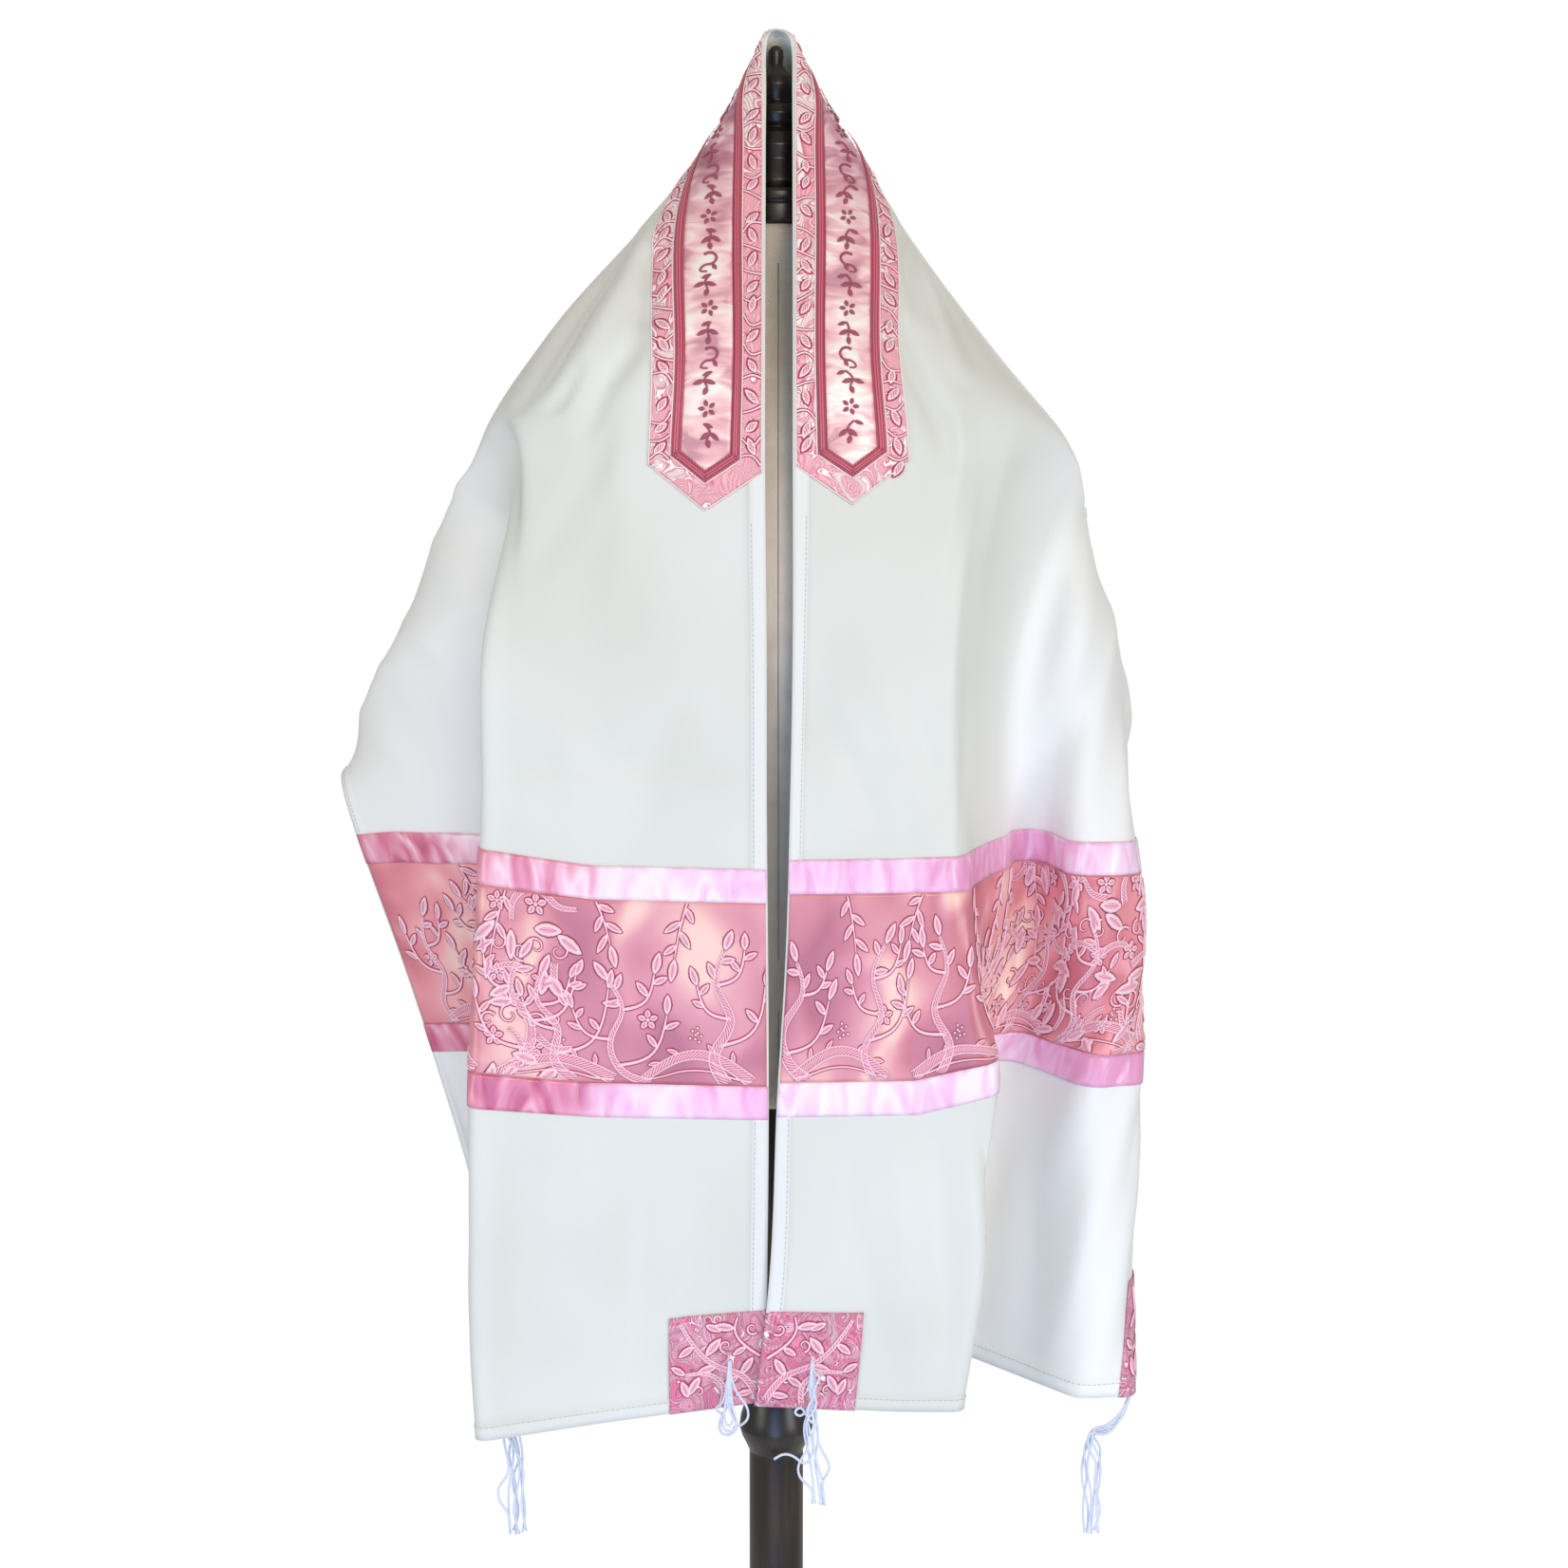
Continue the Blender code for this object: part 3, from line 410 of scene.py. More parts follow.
SURFACE = draped(FINE_U, FINE_V)
SURFACE += crease_push(FINE_U, FINE_V)[:, :, None] * grid_normals(SURFACE)
NORMALS = grid_normals(SURFACE)


def on_cloth(us, vs, lift):
    """Places on the cloth's outer face, lifted off it: arrays of u, v and lift."""
    i = np.clip(np.searchsorted(FINE_U, us, side="right") - 1, 0, len(FINE_U) - 2)
    j = np.clip(np.searchsorted(FINE_V, vs, side="right") - 1, 0, len(FINE_V) - 2)
    a = ((us - FINE_U[i]) / (FINE_U[i + 1] - FINE_U[i]))[..., None]
    b = ((vs - FINE_V[j]) / (FINE_V[j + 1] - FINE_V[j]))[..., None]

    def mixed(grid):
        low = grid[i, j] * (1 - a) + grid[i + 1, j] * a
        high = grid[i, j + 1] * (1 - a) + grid[i + 1, j + 1] * a
        return low * (1 - b) + high * b

    normal = mixed(NORMALS)
    normal /= np.maximum(np.linalg.norm(normal, axis=-1, keepdims=True), 1e-9)
    return mixed(SURFACE) + normal * np.asarray(lift)[..., None]


# ---------------------------------------------------------------- materials
def srgb(code):
    """A hex colour as linear red, green, blue and full alpha."""
    parts = [int(code[k : k + 2], 16) / 255 for k in (1, 3, 5)]
    return tuple(c / 12.92 if c < 0.04045 else ((c + 0.055) / 1.055) ** 2.4 for c in parts) + (1.0,)


def add(tree, kind, links=None, **settings):
    """Adds a shader node, sets its properties, then its inputs from values or sockets."""
    made = tree.nodes.new("ShaderNode" + kind)
    for key, value in settings.items():
        setattr(made, key, value)
    for key, value in (links or {}).items():
        if isinstance(value, bpy.types.NodeSocket):
            tree.links.new(value, made.inputs[key])
        else:
            made.inputs[key].default_value = value
    return made


def new_material(name, colour, roughness, **constants):
    """A material with its Principled shader set; returns it, its tree and its shader."""
    made = bpy.data.materials.new(name)
    made.use_nodes = True
    shader = made.node_tree.nodes["Principled BSDF"]
    shader.inputs["Base Color"].default_value = srgb(colour)
    shader.inputs["Roughness"].default_value = roughness
    for key, value in constants.items():
        shader.inputs[key.replace("_", " ")].default_value = value
    return made, made.node_tree, shader


def mix(tree, factor, low, high):
    """Mixes two colours; each is a hex code or a socket. Returns the mixed colour's socket."""
    low = srgb(low) if isinstance(low, str) else low
    high = srgb(high) if isinstance(high, str) else high
    return add(tree, "Mix", {0: factor, 6: low, 7: high}, data_type="RGBA").outputs[2]


def ramp(tree, value, stops):
    """A smooth ramp of hex colours at places from 0 to 1."""
    made = add(tree, "ValToRGB", {"Fac": value})
    while len(made.color_ramp.elements) < len(stops):
        made.color_ramp.elements.new(0.5)
    for element, (place, code) in zip(made.color_ramp.elements, stops):
        element.position = place
        element.color = srgb(code)
    return made.outputs["Color"]


def maths(tree, operation, a, b=0.0, c=0.0):
    """The socket of one sum; a, b and c are numbers or sockets."""
    return add(tree, "Math", {0: a, 1: b, 2: c}, operation=operation).outputs[0]


def bump(tree, shader, layers):
    """Stacks bumps, coarse first, each as (height socket, depth in metres, strength)."""
    normal = None
    for height, depth, strength in layers:
        inputs = {"Height": height, "Distance": depth, "Strength": strength}
        if normal is not None:
            inputs["Normal"] = normal
        normal = add(tree, "Bump", inputs).outputs["Normal"]
    tree.links.new(normal, shader.inputs["Normal"])


def cut_places(tree, turned=0.0):
    """The cut's own coordinates in metres: u along the cloth and v across it."""
    places = add(tree, "UVMap", uv_map="cut").outputs["UV"]
    return add(tree, "Mapping", {"Vector": places, "Rotation": (0, 0, turned)}).outputs["Vector"]


# A Wave node at scale 1 draws 20 / 2 pi ridges to the metre. Real threads here are mostly
# 0.1 to 0.5 mm apart, too fine to show, so each finish draws them as coarse as they need
# to be seen: 0.85 to 2 mm.
WAVE_RIDGES = 3.18


def thread_lines(tree, places, pitch_mm, way="X"):
    """Straight threads at a real pitch: a wave of one ridge for each thread."""
    scale = 1.0 / (pitch_mm * MM) / WAVE_RIDGES
    return add(tree, "TexWave", {"Vector": places, "Scale": scale, "Distortion": 0.0},
               bands_direction=way).outputs["Fac"]


def silk_cloth():
    """Ivory wool-silk cloth, plain weave: matt, with a faint silky bloom at grazing angles."""
    made, tree, shader = new_material("ivory_woven_silk", "#E2E2DB", 0.60, Sheen_Weight=0.2,
                                      Sheen_Roughness=0.45, Specular_IOR_Level=0.35)
    cut = cut_places(tree)
    cloudy = add(tree, "TexNoise", {"Vector": cut, "Scale": 6.0, "Detail": 2.0}).outputs["Fac"]
    colour = ramp(tree, cloudy, ((0.30, "#DADBD1"), (0.55, "#E1E2D9"), (0.75, "#E5E6DF")))
    # Each turned front hem is three cloths thick, so it looks whiter and less sheer.
    across = add(tree, "SeparateXYZ", {"Vector": cut}).outputs["Y"]
    hem = maths(tree, "LESS_THAN", across, FRONT_HEM)
    colour = mix(tree, maths(tree, "MULTIPLY", hem, 0.7), colour, "#EEEEEA")
    # Painted light: behind the front folds the cloth hangs single, and its colour is painted paler there
    # in place of the light that comes through it.
    painted_backlight = ramp(tree, maths(tree, "DIVIDE", across, WIDTH), ((0.30, "#000000"), (0.46, "#FFFFFF")))
    colour = mix(tree, painted_backlight, colour, "#F4F4F0")
    tree.links.new(colour, shader.inputs["Base Color"])
    # The weave of 0.3 mm is finer than the eye sees from here, so it is drawn at 1.3 mm.
    warp, weft = thread_lines(tree, cut, 1.3, "X"), thread_lines(tree, cut, 1.3, "Y")
    weave = maths(tree, "MULTIPLY", warp, weft)
    swells = add(tree, "TexNoise", {"Vector": cut, "Scale": 12.0, "Detail": 1.0}).outputs["Fac"]
    bump(tree, shader, ((swells, 0.0040, 0.30), (weave, 0.0002, 0.14)))
    return made


# Where a satin's four tones lie on its waves, from painted shade to painted highlight.
SATIN_STOPS = (0.35, 0.45, 0.54, 0.64)


def satin(name, tones, roughness, swell, crinkle, second, where, right_share=1.0,
          lengthwise=False):
    """Woven satin: floats of filament yarn give a wet gloss, with long soft painted highlights in its
    colour.

    `tones` go from painted shade to painted highlight, `swell` scales its broad waves, and `crinkle`
    scales its small ones along the cut's u and v. `second` gives deeper tones of painted shade or
    paler tones of painted light that take over at the stops of `where`, shares across the cut or, with
    `lengthwise`, of the way from the peak to an end. The right end takes them by `right_share` only."""
    made, tree, shader = new_material(name, tones[1], roughness, Specular_IOR_Level=0.6,
                                      Sheen_Weight=0.30, Sheen_Roughness=0.30,
                                      Coat_Weight=0.20, Coat_Roughness=0.20)
    cut = cut_places(tree)
    broad = add(tree, "TexNoise", {"Vector": cut, "Scale": swell, "Detail": 0.0}).outputs["Fac"]
    drawn = add(tree, "Mapping", {"Vector": cut, "Scale": (*crinkle, 1.0)}).outputs["Vector"]
    small = add(tree, "TexNoise", {"Vector": drawn, "Scale": 1.0, "Detail": 0.6,
                                   "Distortion": 1.2}).outputs["Fac"]
    waves = add(tree, "Mix", {0: 0.42, 2: broad, 3: small}).outputs[0]
    # Painted shade and painted highlights: the colour follows the bump's waves, deeper in their hollows,
    # lighter on their crests.
    tone = ramp(tree, waves, tuple(zip(SATIN_STOPS, tones)))
    spot = add(tree, "SeparateXYZ", {"Vector": cut}).outputs
    if lengthwise:
        share = maths(tree, "DIVIDE", maths(tree, "ABSOLUTE", spot["X"]), HALF)
    else:
        share = maths(tree, "DIVIDE", spot["Y"], WIDTH)
    # Painted shade and painted light: across the stops of where, the second tones take over from the
    # first.
    taken = ramp(tree, share, where)
    left = maths(tree, "LESS_THAN", spot["X"], 0.0)
    end_share = maths(tree, "MULTIPLY_ADD", left, 1.0 - right_share, right_share)
    taken = maths(tree, "MULTIPLY", taken, end_share)
    tone = mix(tree, taken, tone, ramp(tree, waves, tuple(zip(SATIN_STOPS, second))))
    tree.links.new(tone, shader.inputs["Base Color"])
    floats = thread_lines(tree, cut, 0.9, "Y")
    bump(tree, shader, ((waves, 0.0060, 0.80), (floats, 0.0001, 0.10)))
    return made


# The brocade's leaf cells to the metre, each about 23 mm, and a turn of hatching in radians.
BROCADE_CELLS = 44.0
FULL_TURN = 6.28


def brocade(name, ground, leaf, deep, pale):
    """Jacquard brocade: curling leaf shapes outlined in pale cord, filled with fine hatching."""
    made, tree, shader = new_material(name, ground, 0.55, Sheen_Weight=0.2, Specular_IOR_Level=0.4)
    cut = cut_places(tree)
    warped = add(tree, "TexNoise", {"Vector": cut, "Scale": 34.0, "Detail": 1.0})
    bent = add(tree, "VectorMath", {0: cut, 1: warped.outputs["Color"], 2: (0.026, 0.026, 0.0)},
               operation="MULTIPLY_ADD").outputs[0]
    cell_size = {"Vector": bent, "Scale": BROCADE_CELLS}
    cells = add(tree, "TexVoronoi", cell_size, voronoi_dimensions="2D")
    rims = add(tree, "TexVoronoi", cell_size, voronoi_dimensions="2D",
               feature="DISTANCE_TO_EDGE").outputs["Distance"]
    pick = add(tree, "SeparateColor", {"Color": cells.outputs["Color"]})
    swing = maths(tree, "MULTIPLY", pick.outputs["Red"], FULL_TURN)
    spun = add(tree, "VectorRotate", {"Vector": bent, "Angle": swing}, rotation_type="Z_AXIS").outputs[0]
    hatch = thread_lines(tree, spun, 1.9)
    curls = add(tree, "TexWave", {"Vector": bent, "Scale": 160.0, "Distortion": 3.0, "Detail": 2.0},
                wave_type="RINGS").outputs["Fac"]
    pattern = add(tree, "Mix", {0: maths(tree, "GREATER_THAN", pick.outputs["Green"], 0.55),
                                2: hatch, 3: curls}).outputs[0]
    base = mix(tree, maths(tree, "GREATER_THAN", pick.outputs["Blue"], 0.50), leaf, pale)
    filled_cells = mix(tree, maths(tree, "MULTIPLY", pattern, 0.62), base, deep)
    shadowed = mix(tree, ramp(tree, rims, ((0.05, "#FFFFFF"), (0.16, "#000000"))), filled_cells, deep)
    corded = mix(tree, ramp(tree, rims, ((0.035, "#FFFFFF"), (0.06, "#000000"))), shadowed, "#FFF4F0")
    tree.links.new(corded, shader.inputs["Base Color"])
    cord = ramp(tree, rims, ((0.02, "#FFFFFF"), (0.08, "#000000")))
    bump(tree, shader, ((cord, 0.0006, 0.6), (pattern, 0.0002, 0.35)))
    return made


def thread(name, colour, shade, gloss=0.42, sheen=0.3):
    """Rayon embroidery thread laid side by side: fine glossy ridges along the stitches."""
    made, tree, shader = new_material(name, colour, gloss, Sheen_Weight=sheen,
                                      Specular_IOR_Level=2 * sheen)
    ridges = thread_lines(tree, cut_places(tree, 0.5), 0.85, "X")
    tone = mix(tree, maths(tree, "MULTIPLY", ridges, 0.5), colour, shade)
    tree.links.new(tone, shader.inputs["Base Color"])
    bump(tree, shader, ((ridges, 0.0002, 0.5),))
    return made


def braid(name, colour, shade):
    """Flat woven braid: cords laid side by side along it, with deep grooves between them."""
    made, tree, shader = new_material(name, colour, 0.42, Sheen_Weight=0.3, Specular_IOR_Level=0.6)
    cords = thread_lines(tree, cut_places(tree), 2.0, "Y")
    tone = ramp(tree, cords, ((0.12, shade), (0.45, colour)))
    tree.links.new(tone, shader.inputs["Base Color"])
    bump(tree, shader, ((cords, 0.0008, 0.7),))
    return made


def hatched(name, ground, line):
    """Slanting fill stitches in a light thread, with the deeper ground between them."""
    made, tree, shader = new_material(name, ground, 0.50, Sheen_Weight=0.3, Specular_IOR_Level=0.5)
    rows = thread_lines(tree, cut_places(tree, 0.9), 1.7, "X")
    tree.links.new(ramp(tree, rows, ((0.30, ground), (0.62, line))), shader.inputs["Base Color"])
    bump(tree, shader, ((rows, 0.0004, 0.6),))
    return made


def leaf_stitch(name, colour, shade):
    """Satin stitch of a leaf: threads that slant out both ways from a deeper vein."""
    made, tree, shader = new_material(name, colour, 0.42, Sheen_Weight=0.3, Specular_IOR_Level=0.6)
    spot = add(tree, "SeparateXYZ", {"Vector": cut_places(tree)}).outputs
    away = maths(tree, "ABSOLUTE", spot["Y"])
    slant = add(tree, "CombineXYZ", {"X": maths(tree, "ADD", spot["X"], away)}).outputs[0]
    rows = thread_lines(tree, slant, 1.1, "X")
    tone = mix(tree, maths(tree, "MULTIPLY", rows, 0.35), colour, shade)
    tone = mix(tree, maths(tree, "LESS_THAN", away, 0.00032), tone, shade)
    tree.links.new(tone, shader.inputs["Base Color"])
    bump(tree, shader, ((rows, 0.0003, 0.5),))
    return made


def linen():
    """Grey-ivory linen stretched over a padded torso: plain weave with slubs, quite matt."""
    made, tree, shader = new_material("stretched_linen", "#EEE6D8", 0.88, Sheen_Weight=0.2)
    places = add(tree, "TexCoord").outputs["Object"]
    slubs = add(tree, "TexNoise", {"Vector": places, "Scale": 60.0, "Detail": 4.0}).outputs["Fac"]
    tree.links.new(ramp(tree, slubs, ((0.3, "#EEE0CC"), (0.55, "#F6E9D6"), (0.75, "#F9EFDE"))),
                   shader.inputs["Base Color"])
    upright = thread_lines(tree, places, 1.4, "X")
    level = thread_lines(tree, places, 1.4, "Z")
    bump(tree, shader, ((maths(tree, "MULTIPLY", upright, level), 0.0003, 0.35),))
    return made


def turned_wood():
    """Walnut stained nearly black and wax polished: faint long grain, soft clear highlights."""
    made, tree, shader = new_material("ebonised_walnut", "#231B16", 0.34, Coat_Weight=0.2,
                                      Coat_Roughness=0.25)
    places = add(tree, "TexCoord").outputs["Object"]
    drawn = add(tree, "Mapping", {"Vector": places, "Scale": (42.0, 42.0, 3.4)}).outputs["Vector"]
    grain = add(tree, "TexNoise", {"Vector": drawn, "Scale": 2.6, "Detail": 6.0}).outputs["Fac"]
    tree.links.new(ramp(tree, grain, ((0.32, "#15100D"), (0.52, "#251C17"), (0.72, "#43301F"))),
                   shader.inputs["Base Color"])
    bump(tree, shader, ((grain, 0.0004, 0.25),))
    return made


def white_thread():
    """Spun white wool thread: soft, matt, with a cool shade between its plies."""
    made, tree, shader = new_material("spun_white_thread", "#E9ECF4", 0.75, Sheen_Weight=0.4)
    stitch = cut_places(tree, 0.7)
    plies = thread_lines(tree, stitch, 1.5, "X")
    tree.links.new(mix(tree, plies, "#CBD5EE", "#EDF1FA"), shader.inputs["Base Color"])
    bump(tree, shader, ((plies, 0.0003, 0.5),))
    return made


# Where second tones take over, as shares of the width: painted shade deepens the ribbons where
# they fold, painted light makes the band paler on the single cloth behind the front folds, and
# painted shade deepens the neckband's satin near the peak.
FOLD_PAINTED_SHADE = ((0.155, "#000000"), (0.23, "#FFFFFF"), (0.40, "#FFFFFF"),
            (0.62, "#404040"), (0.74, "#404040"), (0.86, "#FFFFFF"))
BACK_PAINTED_LIGHT = ((0.33, "#000000"), (0.48, "#FFFFFF"))
PEAK_PAINTED_SHADE = ((0.10, "#FFFFFF"), (0.19, "#000000"))

FINISH = {
    "cloth": silk_cloth(),
    "pink_ribbon": satin("pink_satin_ribbon", ("#F3A9D2", "#FDC4E8", "#FFD8F2", "#FFEEFF"), 0.26, 7.0,
                         (26.0, 62.0), ("#CC5E82", "#E4829C", "#F4A8BE", "#FFDCE8"),
                         FOLD_PAINTED_SHADE, right_share=0.2),
    "rose_satin": satin("dusty_rose_satin", ("#BC6674", "#D47E88", "#E8989E", "#FFCFBC"),
                        0.32, 9.0, (15.0, 17.0), ("#D67684", "#EC929A", "#FCACB0", "#FFDECE"),
                        BACK_PAINTED_LIGHT),
    "insert": satin("pale_pink_satin", ("#D49AA4", "#F6BCC0", "#FFDAD6", "#FFF4EA"),
                    0.26, 34.0, (100.0, 42.0), ("#A86078", "#C48294", "#DCA2AE", "#F4CCD0"),
                    PEAK_PAINTED_SHADE, lengthwise=True),
    "brocade": brocade("rose_brocade", "#FFB4BC", "#FFC0C6", "#DA7086", "#FFF8F2"),
    "square_brocade": brocade("pink_brocade", "#EE82A4", "#F48CAE", "#A8305C", "#FFB8D0"),
    "piping": braid("dark_rose_braid", "#E8687E", "#983448"),
    "pale_cord": thread("pale_pink_cord", "#FFEEE9", "#F6CDCC"),
    "vine": thread("light_pink_thread", "#FFDCE4", "#FBBCCB"),
    "hatch": hatched("hatched_pink_thread", "#D9728F", "#FFC6D2"),
    "leaf": leaf_stitch("pink_leaf_thread", "#FCBCCB", "#DE7C97"),
    "outline": thread("deep_rose_thread", "#CC4A6C", "#AA3556", 0.7, sheen=0.05),
    "maroon": thread("maroon_thread", "#B04A64", "#7C2A42"),
    "seam": thread("ivory_sewing_thread", "#CFCFC6", "#B5B5AC", 0.6),
    "linen_seam": thread("grey_linen_thread", "#B9B3A5", "#9A9486", 0.8),
    "cord": white_thread(),
    "linen": linen(),
    "dark_wood": turned_wood(),
}


# ---------------------------------------------------------------- making pieces
def finish_piece(name, mesh, finish, slot, *nodes):
    """Links a mesh as a piece of the object, with its finish, body and solids; `slot` is not used."""
    piece = bpy.data.objects.new(name, mesh)
    bpy.context.scene.collection.objects.link(piece)
    mesh.materials.append(FINISH[finish])
    mesh.shade_smooth()
    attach(piece, "root")
    if nodes:
        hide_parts(*nodes)
    return piece


def grid_template(rows, columns):
    """Shares from 0 to 1 both ways and the faces of a grid made by the grid operator."""
    bm = bmesh.new()
    bmesh.ops.create_grid(bm, x_segments=rows, y_segments=columns, size=0.5)
    shares = np.array([vert.co[:2] for vert in bm.verts]) + 0.5
    faces = [[vert.index for vert in face.verts] for face in bm.faces]
    bm.free()
    return shares, faces


def mesh_of(name, points, faces, stitch_places):
    """A mesh with its own cut coordinates as the UV map."""
    mesh = bpy.data.meshes.new(name)
    mesh.from_pydata(points.tolist(), [], faces)
    layer = mesh.uv_layers.new(name="cut")
    corners = np.empty(len(mesh.loops), np.int32)
    mesh.loops.foreach_get("vertex_index", corners)
    layer.data.foreach_set("uv", np.asarray(stitch_places, np.float32)[corners].ravel())
    return mesh


def sewn_sheet(name, lines_u, lines_v, place, finish, slot, wall, *nodes):
    """A sheet of cloth over grid lines; `place` gives its points and cut coordinates."""
    shares, faces = grid_template(len(lines_u) - 1, len(lines_v) - 1)
    us = np.array(lines_u)[np.rint(shares[:, 0] * (len(lines_u) - 1)).astype(int)]
    vs = np.array(lines_v)[np.rint(shares[:, 1] * (len(lines_v) - 1)).astype(int)]
    points, places = place(us, vs)
    mesh = mesh_of(name, points, faces, places)
    piece = finish_piece(name, mesh, finish, slot, *nodes)
    thick = piece.modifiers.new("wall", "SOLIDIFY")
    thick.thickness = wall
    thick.offset = -1.0
    thick.use_rim = True
    return piece


def cloth():
    """The shawl itself: one long rectangle with turned hems all round."""
    def place(us, vs):
        inside = np.maximum.reduce([FRONT_HEM - vs, vs - (WIDTH - OUTER_HEM),
                                    np.abs(us) - (HALF - END_HEM)])
        hem = HEM_STEP * np.clip(inside / HEM_EDGE + 1.0, 0.0, 1.0)
        return on_cloth(us, vs, hem - CLOTH_SHY), np.column_stack([us, vs])

    return sewn_sheet("shawl_cloth", FINE_U, FINE_V, place, "cloth", "cloth", CLOTH_WALL, "cloth_body")


def between(low, high):
    """The cloth's own grid lines across it between two places, with both ends."""
    clear, most = 0.6 * MM, 3.5 * MM
    inner = [v for v in FINE_V if low + clear < v < high - clear]
    return filled([low, *inner, high], most)


def ribbon(name, side, span, v_span, lift, finish, slot, node, ripple=0.0):
    """A strip across the cloth, a little puckered between the rows of stitches that hold it."""
    low, high = (span if side > 0 else (-span[1], -span[0]))
    tall, pucker = span[1] - span[0], 0.021

    def place(us, vs):
        across = np.clip((us - low) / tall, 0.0, 1.0)
        held = np.sin(across * math.pi) ** 0.5
        unevenness = 2.1 * np.sin(vs * 37.0) + 1.4 * np.sin(vs * 83.0)
        gathers = np.sin(vs * 2 * math.pi / pucker + unevenness)
        return on_cloth(us, vs, lift + ripple * held * (1.0 + gathers)), np.column_stack([us, vs])

    lines_u, lines_v = filled((low, high), 3.0 * MM), between(*v_span)
    return sewn_sheet(name, lines_u, lines_v, place, finish, slot, TRIM_WALL, node)


class Threadwork:
    """Raised sewing on the cloth, gathered into one mesh: each place is (u, v, lift).

    With `keep` as ((u low, u high), (v low, v high)), nothing is sewn outside it."""

    def __init__(self, keep=None):
        self.keep = keep
        self.places, self.faces, self.grain, self.count = [], [], [], 0

    def take(self, us, vs, lift, faces, grain):
        """Adds one stitched shape; `grain` gives the cut coordinates that its thread follows."""
        if self.keep:
            us, vs = np.clip(us, *self.keep[0]), np.clip(vs, *self.keep[1])
        self.places.append(np.column_stack([us, vs, lift]))
        self.grain.append(grain)
        self.faces += [[corner + self.count for corner in face] for face in faces]
        self.count += len(us)

    def finish(self, name, finish, slot):
        """Lays everything taken so far on the cloth as one piece."""
        places = np.concatenate(self.places)
        points = on_cloth(places[:, 0], places[:, 1], places[:, 2])
        mesh = mesh_of(name, points, self.faces, np.concatenate(self.grain))
        return finish_piece(name, mesh, finish, slot)


def rod_template(along, sides):
    """A closed rod: (x, y) on a unit circle and a share along it, with its faces."""
    bm = bmesh.new()
    bmesh.ops.create_cone(bm, cap_ends=True, segments=sides, radius1=1.0, radius2=1.0, depth=1.0)
    upright = [edge for edge in bm.edges if abs(edge.verts[0].co.z - edge.verts[1].co.z) > 0.5]
    bmesh.ops.subdivide_edges(bm, edges=upright, cuts=along - 1, use_grid_fill=True)
    bmesh.ops.recalc_face_normals(bm, faces=bm.faces)
    points = np.array([vert.co[:] for vert in bm.verts])
    faces = [[vert.index for vert in face.verts] for face in bm.faces]
    bm.free()
    points[:, 2] += 0.5
    return points, faces


def pad_template(around, rings):
    """A small closed pad: a unit ball from the sphere operator, poles along x."""
    bm = bmesh.new()
    bmesh.ops.create_uvsphere(bm, u_segments=around, v_segments=rings, radius=1.0)
    points = np.array([(vert.co.z, vert.co.y, -vert.co.x) for vert in bm.verts])
    faces = [[vert.index for vert in face.verts] for face in bm.faces]
    bm.free()
    return points, faces


# Rods by the number of steps along them: a stitch, a twig, a stem, a thread, a long cord.
STITCH, TWIG, STEM, THREAD, LONG_CORD = 6, 12, 24, 48, 160
ROD = {steps: rod_template(steps, 6) for steps in (STITCH, TWIG, STEM, THREAD, LONG_CORD)}
LEAF_PAD = pad_template(8, 6)
DOT_PAD = pad_template(6, 4)


def curve_through(points, count):
    """Evenly spaced places on a smooth curve through a few points."""
    points = np.array(points, float)
    run = np.concatenate([[0.0], np.cumsum(np.linalg.norm(np.diff(points, axis=0), axis=1))])
    if len(points) == 2:
        return points[0] + (points[1] - points[0]) * np.linspace(0, 1, count)[:, None]
    return spline_through(run, points, np.linspace(0.0, run[-1], count))


def headings_of(track):
    """Unit vectors along a track, one for each of its places."""
    way = np.gradient(track, axis=0)
    return way / np.maximum(np.linalg.norm(way, axis=1, keepdims=True), 1e-9)


def length_of(track):
    """How long a track is from end to end."""
    return np.linalg.norm(np.diff(track, axis=0), axis=1).sum()


def laid_rod(work, track, widths, height, lift):
    """A raised rod laid along a track in (u, v), tapering between two half-widths."""
    along = len(track) - 1
    rod, faces = ROD[along]
    way = headings_of(track)
    at = np.rint(rod[:, 2] * along).astype(int)
    half = widths[0] + (widths[1] - widths[0]) * rod[:, 2]
    us = track[at, 0] - way[at, 1] * rod[:, 0] * half
    vs = track[at, 1] + way[at, 0] * rod[:, 0] * half
    work.take(us, vs, lift + height * (rod[:, 1] * 0.5 + 0.5), faces,
              np.column_stack([rod[:, 2] * length_of(track), rod[:, 0] * half]))


def stem(work, points, widths, height, lift, along=STEM):
    """A raised line of stitches on a smooth curve in (u, v) through points."""
    laid_rod(work, curve_through(points, along + 1), widths, height, lift)


def end_heading(track):
    """Which way a track points at its end."""
    return math.atan2(*(track[-1] - track[-3])[::-1])


def leaf(work, root, angle, length, width, height, lift):
    """A padded leaf in (u, v): pointed at both ends, highest along its middle."""
    pad, faces = LEAF_PAD
    x = pad[:, 0] * 0.5 + 0.5
    slim = np.abs(np.sin(np.clip(x, 0, 1) ** 0.85 * math.pi)) ** 0.35
    along, across = x * length, pad[:, 1] * slim * width / 2
    us = root[0] + math.cos(angle) * along - math.sin(angle) * across
    vs = root[1] + math.sin(angle) * along + math.cos(angle) * across
    work.take(us, vs, lift + height * (pad[:, 2] * 0.5 + 0.5), faces, np.column_stack([along, across]))


def dot(work, centre, radius, height, lift):
    """A small round knot of thread."""
    pad, faces = DOT_PAD
    us, vs = centre[0] + pad[:, 0] * radius, centre[1] + pad[:, 1] * radius
    work.take(us, vs, lift + height * (pad[:, 2] * 0.5 + 0.5), faces, pad[:, :2] * radius)


